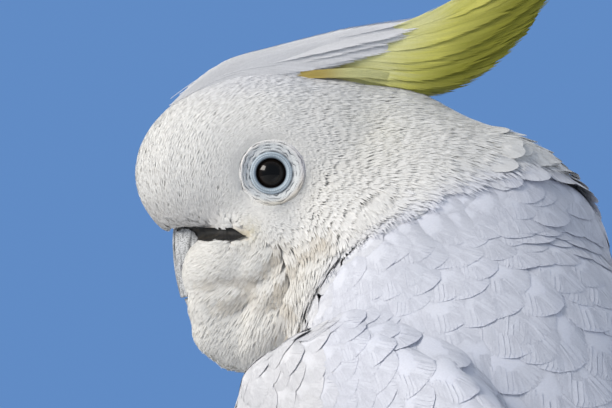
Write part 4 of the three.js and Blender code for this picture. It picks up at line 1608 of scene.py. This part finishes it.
def bare_ring(side, label):
    """The eyelids' beaded rim and the wrinkled skin round them."""
    radii = np.concatenate([np.linspace(4.9, 7.3, 26), np.linspace(7.38, LID_OUTSIDE, 74)])[:, None]
    angle = angles_round(AROUND)[None, :]
    own = np.random.default_rng(12)
    wobble = 0.35 * swirls(own, 2, 6, 5, angle, radii, 0.6) + 0.13 * swirls(own, 8, 26, 6, angle, radii, 1.5)
    depth = swirls(own, 3, 16, 7, angle, radii, 2.0)
    outer = ramp(LID_EDGE - 0.1, LID_EDGE + 0.4, radii)
    phase = (radii - LID_EDGE) / (12.4 - LID_EDGE) * FOLDS + outer * (wobble + 0.3 * np.cos(angle - 2.6))
    fold = np.abs(np.sin(math.pi * phase)) ** 0.7
    broken = np.clip(0.55 + 0.55 * depth, 0.0, 1.2)
    fade = outer * (1 - ramp(11.8, 12.8, radii))
    hatch = swirls(own, 60, 90, 4, angle, radii, 9.0) * outer
    nicks = ramp(0.5, 1.6, hatch) * fade
    ring_groove = bump(radii - LID_EDGE - 0.05, 0.16) * np.clip(0.75 + 0.35 * depth, 0.2, 1)
    beads = bump(radii - 5.9, 0.4) * np.abs(np.sin(angle * LID_BEADS / 2 + 2 * wobble)) ** 0.8
    second = bump(radii - 6.7, 0.3) * np.abs(np.sin(angle * LID_BEADS / 2 + 0.9 + 3 * wobble)) ** 0.8
    outs = np.interp(radii, RING_PROFILE[:, 0], RING_PROFILE[:, 1])
    outs = outs - LEAN * radii * np.cos(angle) * ramp(5, 7, radii)
    outs = outs + (rim_height(angle[0], side)[None] + 0.35 - outs) * ramp(7.3, 10.6, radii)
    outs = outs - 3.0 * ramp(10.4, 13.2, radii)
    outs = outs + fade * 0.65 * broken * (fold - 0.8) - 0.1 * nicks - 0.32 * ring_groove
    outs = outs + 0.2 * beads + 0.16 * second
    stretch = 1 + 0.05 * np.cos(angle - 2.7) * outer
    points = ring_points(radii * stretch, outs, angle + 0 * radii, side).reshape(-1, 3)
    mesh = make_mesh(f"lids_{label}", points, grid_faces(len(radii), AROUND, side < 0))
    colours = np.tile(LID_PALE, (len(points), 1))
    flat = np.zeros_like(radii + angle)
    marks = [
        (LID_BLUE, 0.3 * (1 - ramp(9.0, 10.5, radii)) + flat),
        (LID_PURPLE, 0.75 * ramp(8.5, 11.0, radii) * ramp(0.2, 0.95, np.cos(angle - math.pi - 0.15))),
        (LID_TAN, 0.6 * ramp(8.8, 10.5, radii) * ramp(0.3, 0.95, np.cos(angle + 2.1))),
        (LID_BLUE, 0.95 * (1 - ramp(LID_EDGE - 0.3, LID_EDGE + 0.2, radii)) + flat),
        (LID_FLECK, 0.65 * np.maximum(beads, second) ** 2),
        # Painted shade, dark: in the crease between the bead rows, in the groove round the lids, in the
        # folds' hollows and nicks, and at the lids' inner edge
        (LID_CREASE_SHADE, 0.5 * bump(radii - 6.32, 0.16) + flat),
        (LID_CREASE_SHADE, 0.9 * ring_groove),
        (LID_CREASE_SHADE, 0.95 * fade * (1 - ramp(0.12, 0.6, fold)) * np.minimum(broken, 1)),
        (LID_CREASE_SHADE, 0.35 * nicks),
        (LID_CREASE_SHADE, 0.95 * (1 - ramp(5.05, 5.35, radii)) + flat),
    ]
    for colour, share in marks:
        colours = mixed(colours, colour, share.ravel())
    paint(mesh, colours)
    show(mesh, LIDS, [f"eye_ring_{label}"])


for side, label in SIDES:
    eyeball(side, label)
    bare_ring(side, label)

# ---- Bill, mouth, legs and feet ----


def loft(stations, side, rings, around, closed_by=0.12):
    """A smooth tube through stations of place, half width, height above and height below.

    Both ends close. Returns its points and triangles.
    """
    stations = np.asarray(stations, float)
    count = len(stations)
    places = np.linspace(0, 1, rings)
    row = curve_weights(places, count) @ stations
    row[:, 3:] = np.maximum(row[:, 3:], 0.05)
    middle = from_body(row[:, :3])
    run = unit(np.gradient(middle, axis=0))
    across = along_surface(np.tile(unit(np.asarray(side, float)), (rings, 1)), run)
    above = np.cross(across, run)
    above *= np.sign(above @ UP + 0.2 * above @ FORWARD)[:, None]
    angle = angles_round(around)
    closing = np.sqrt(1 - np.clip(1 - np.minimum(places, 1 - places) / closed_by, 0, 1) ** 2)
    closing = np.maximum(closing, 0.02)[:, None]
    wide = row[:, 3:4] * np.cos(angle)[None] * closing
    tall = np.where(np.sin(angle) > 0, row[:, 4:5], row[:, 5:6]) * np.sin(angle)[None] * closing
    points = middle[:, None] + MM * (across[:, None] * wide[..., None] + above[:, None] * tall[..., None])
    turn = np.dot(np.cross(across[0], above[0]), run[0]) > 0
    return points.reshape(-1, 3), grid_faces(rings, around, turn)


def in_body(f, u, left=0.0):
    """A place given forward and up from the eyes, in the body's mm."""
    return tuple(to_body(from_head([(f, left, u)]))[0])


# Forward and up from the eyes, half width, height above and height below
UPPER_BILL = [
    (18, -9, 9.5, 11, 11),
    (22.6, -19, 10, 10.4, 10.4),
    (23.8, -28, 9.4, 9.6, 9),
    (24, -36, 8, 8.2, 7.6),
    (22.6, -44, 6.2, 7, 5.8),
    (20.2, -51, 4, 5.4, 3.6),
    (17.6, -57.5, 1.6, 2, 1.4),
]
LOWER_BILL = [(-8, -30, 9, 8, 8), (0, -38, 10, 8.5, 8), (8, -45, 9.5, 7, 7), (14.5, -49, 7, 4.5, 5)]


def bill_half(name, rows, node, closed_by):
    """One half of the bill, with fine ridges along the horn."""
    stations = [(*in_body(f, u), half, above, below) for f, u, half, above, below in rows]
    points, faces = loft(stations, LEFT, 90, 72, closed_by)
    ridges = 0.09 * waves(points * [1, 1, 0.12], 1.1, 31) + 0.07 * waves(points * [1, 1, 0.3], 3, 32)
    points = points + MM * ridges[:, None] * normals_of(points, faces)
    show(make_mesh(name, points, faces), BILL_HORN, [node])


MOUTH_FRONT, MOUTH_LENGTH = 32, 23.8
# Near black: painted shadow of the slit over the dark skin, with some brown
MOUTH_SLIT_SHADOW = np.array([0.008, 0.008, 0.008])
MOUTH_BROWN = np.array([0.07, 0.055, 0.035])


def mouth_corner(side, label):
    """The dark fold of skin in the slit between brow and cheek, its near-black colour mostly painted shadow
    of the slit.
    """
    steps, rows = 60, 11
    t = np.linspace(0, 1, steps)[:, None]
    across = np.linspace(-1, 1, rows)[None, :]
    half = 1.9 * (1 - ramp(0.78, 1.0, t)) + 0.15
    f = MOUTH_FRONT - MOUTH_LENGTH * t + 0 * across
    u = MOUTH_LINE - 0.7 * ramp(0.75, 1, t) + half * across
    out = seen_height(f.ravel(), u.ravel(), side).reshape(steps, rows)
    out = out - 0.3 - 0.5 * (1 - across**2) - 0.08 * np.sin(t * 130)
    points = from_head(np.stack([f, side * out, u], axis=-1)).reshape(-1, 3)
    mesh = make_mesh(f"mouth_{label}", points, grid_faces(steps, rows, side < 0, closed=False))
    paint(mesh, mixed(np.tile(MOUTH_SLIT_SHADOW, (len(points), 1)), MOUTH_BROWN, 0.35 * waves(points, 1.5, 8)))
    show(mesh, SCALES)


for side, label in SIDES:
    mouth_corner(side, label)

bill_half("bill_upper", UPPER_BILL, "upper_bill", 0.05)
bill_half("bill_lower", LOWER_BILL, "lower_bill", 0.12)

LEG_GREY = np.array([0.11, 0.11, 0.115])
LEG_CREASE = np.array([0.03, 0.03, 0.032])
LEG_DUST = np.array([0.24, 0.24, 0.245])
FEET_APART = 27
# Place, half width, height above and height below
TARSUS = [
    (FEET_APART, 9, 50, 5.6, 5.8, 5.4),
    (FEET_APART, 8, 36, 5.4, 5.6, 5.2),
    (FEET_APART, 5, 24, 4.6, 4.8, 4.6),
    (FEET_APART, 0, 12, 5, 5.2, 5.2),
    (FEET_APART, -3, 5.4, 6, 5.6, 5.4),
]
# Heading in degrees from straight ahead, length and root radius
TOES = {
    "inner_front": (-14, 30, 4.4),
    "outer_front": (16, 42, 4.8),
    "outer_rear": (152, 39, 4.6),
    "inner_rear": (196, 22, 4.2),
}
SCALE_RISE = 0.28


def scaled(points, faces, cell, relief):
    """Raises small rounded scales on a surface; returns the points and how deep each lies in a seam."""
    tree = place_tree(points[thinned(points, np.full(len(points), cell))])
    two = np.array([[found[2] for found in tree.find_n(point, 2)] for point in points])
    seam = 1 - ramp(0.02, 0.32, (two[:, 1] - two[:, 0]) / cell)
    return points + relief * (0.4 - seam)[:, None] * normals_of(points, faces), seam


def leg_piece(name, stations, side_way, mirror, node, rings, cell):
    """A scaled length of leg or toe, cut level where it stands on the floor."""
    stations = [(x * mirror, *rest) for x, *rest in stations]
    points, faces = loft(stations, side_way, rings, 44)
    outward = np.dot(normals_of(points, faces)[0], points[0] - points.mean(0))
    if mirror < 0 and outward <= 0:
        faces = faces[:, ::-1]
    points, seam = scaled(points, faces, cell * MM, SCALE_RISE * MM)
    points[:, 2] = np.maximum(points[:, 2], 0.0)
    mesh = make_mesh(name, points, faces)
    colours = np.tile(LEG_GREY, (len(points), 1))
    colours = mixed(colours, LEG_DUST, 0.5 + 0.5 * waves(points, 4, 12))
    paint(mesh, mixed(colours, LEG_CREASE, seam * 0.85))
    show(mesh, SCALES, [node])


def toe_place(heading, along, height):
    turn = math.radians(heading)
    return FEET_APART + math.sin(turn) * along, -3 - math.cos(turn) * along, height


def toe_stations(heading, long, radius):
    rows = []
    for i, t in enumerate((0, 0.2, 0.4, 0.6, 0.8, 1)):
        r = radius * (1 - 0.32 * t) * (0.9 if i % 2 else 1.04)
        rows.append((*toe_place(heading, long * t, 0.8 * r), r, r, r))
    return rows


def claw_stations(heading, long, radius):
    root = 0.62 * radius
    curve = [(-3, root + 1, root), (2, root + 1.6, 0.86 * root), (7, root + 0.4, 0.58 * root), (10.5, 1, 0.4)]
    return [(*toe_place(heading, long + beyond, height), r, r, r) for beyond, height, r in curve]


for mirror, label in SIDES:
    leg_piece(f"shank_{label}", TARSUS, (1, 0, 0), mirror, f"tarsus_{label}", 70, 1.7)
    for toe, (heading, long, radius) in TOES.items():
        turn = math.radians(heading)
        side_way = (math.cos(turn), math.sin(turn) * mirror, 0)
        leg_piece(f"toes_{toe}_{label}", toe_stations(heading, long, radius), side_way, mirror,
                  f"toe_{toe}_{label}", round(long * 2.2), 1.5)
        stations = [(x * mirror, *rest) for x, *rest in claw_stations(heading, long, radius)]
        points, faces = loft(stations, side_way, 40, 24, 0.06)
        show(make_mesh(f"claws_{toe}_{label}", points, faces), CLAW_HORN, [f"claw_{toe}_{label}"])

# ---- Floor, light and camera ----


UNDER_FEET = 0.0001  # so that the floor and the soles don't share a plane


def make_floor():
    """A plain pale disc just under the feet."""
    rows, around, reach = 40, 96, 0.75
    radii = np.linspace(0.00005, reach, rows)[:, None]
    angle = angles_round(around)[None, :]
    points = np.stack([radii * np.cos(angle), radii * np.sin(angle), 0 * radii * angle - UNDER_FEET], axis=-1)
    mesh = make_mesh("floor", points.reshape(-1, 3), grid_faces(rows, around, False))
    material, tree, shader = new_material("floor_plain", Roughness=0.8, Specular_IOR_Level=0.2)
    noise = object_noise(tree, 9, 3)
    tone = colour_ramp(tree, noise.outputs["Fac"], [(0.3, (0.60, 0.61, 0.63)), (0.7, (0.64, 0.65, 0.66))])
    tree.links.new(tone.outputs["Color"], shader.inputs["Base Color"])
    floor = bpy.data.objects.new("floor", mesh)
    bpy.context.scene.collection.objects.link(floor)
    mesh.materials.append(material)


def add_light(name, place, watts, size, colour):
    """A square soft light aimed at the head."""
    data = bpy.data.lights.new(name, "AREA")
    data.energy = watts
    data.size = size
    data.color = colour
    lamp = bpy.data.objects.new(name, data)
    lamp.location = from_head(place)
    lamp.rotation_mode = "QUATERNION"
    lamp.rotation_quaternion = (Vector(HEAD_MIDDLE) - lamp.location).to_track_quat("-Z", "Y")
    bpy.context.scene.collection.objects.link(lamp)
    return lamp


def make_world():
    """A soft sky that fills the shadows, seen behind the bird as a plain blue backdrop."""
    world = bpy.data.worlds.new("studio")
    bpy.context.scene.world = world
    world.use_nodes = True
    tree = world.node_tree
    tree.nodes.clear()
    output = tree.nodes.new("ShaderNodeOutputWorld")
    seen, light = tree.nodes.new("ShaderNodeBackground"), tree.nodes.new("ShaderNodeBackground")
    seen.inputs["Color"].default_value = (0.12, 0.26, 0.56, 1)
    seen.inputs["Strength"].default_value = 1.0
    light.inputs["Color"].default_value = (0.72, 0.82, 1.0, 1)
    light.inputs["Strength"].default_value = 0.37
    path, mix = tree.nodes.new("ShaderNodeLightPath"), tree.nodes.new("ShaderNodeMixShader")
    tree.links.new(path.outputs["Is Camera Ray"], mix.inputs["Fac"])
    tree.links.new(light.outputs["Background"], mix.inputs[1])
    tree.links.new(seen.outputs["Background"], mix.inputs[2])
    tree.links.new(mix.outputs["Shader"], output.inputs["Surface"])


make_floor()
make_world()
HEAD_MIDDLE = from_head((-10, 0, 0))
# Place forward, left and up in mm, watts, size in metres and colour
KEY = ((840, 440, 560), 11.7, 0.5, (1.0, 0.955, 0.89))
FILL = ((-700, 900, 250), 1.9, 1.0, (0.86, 0.92, 1.0))
BACK = ((-300, -900, 700), 3, 0.6, (1.0, 0.98, 0.95))
add_light("key", *KEY)
add_light("fill", *FILL).visible_glossy = False
add_light("back", *BACK)

# The camera looks level at the left side of the head. Its view is 612 x 408 pixels, 3 to a millimetre.
PIXELS_ACROSS, PIXELS_PER_MM, DISTANCE, SENSOR = 612, 3.0, 1500.0, 36.0
LOOKED_AT = (-35 / PIXELS_PER_MM, 24.5, -31 / PIXELS_PER_MM)

camera = bpy.data.objects.new("camera", bpy.data.cameras.new("camera"))
camera.data.sensor_width = SENSOR
camera.data.lens = SENSOR * DISTANCE / (PIXELS_ACROSS / PIXELS_PER_MM)
camera.data.clip_start, camera.data.clip_end = 0.05, 20
camera.location = from_head(np.add(LOOKED_AT, (0, DISTANCE, 0)))
camera.rotation_mode = "QUATERNION"
camera.rotation_quaternion = Vector(-LEFT).to_track_quat("-Z", "Y")
bpy.context.scene.collection.objects.link(camera)
bpy.context.scene.camera = camera
bpy.context.scene.view_settings.view_transform = "Standard"
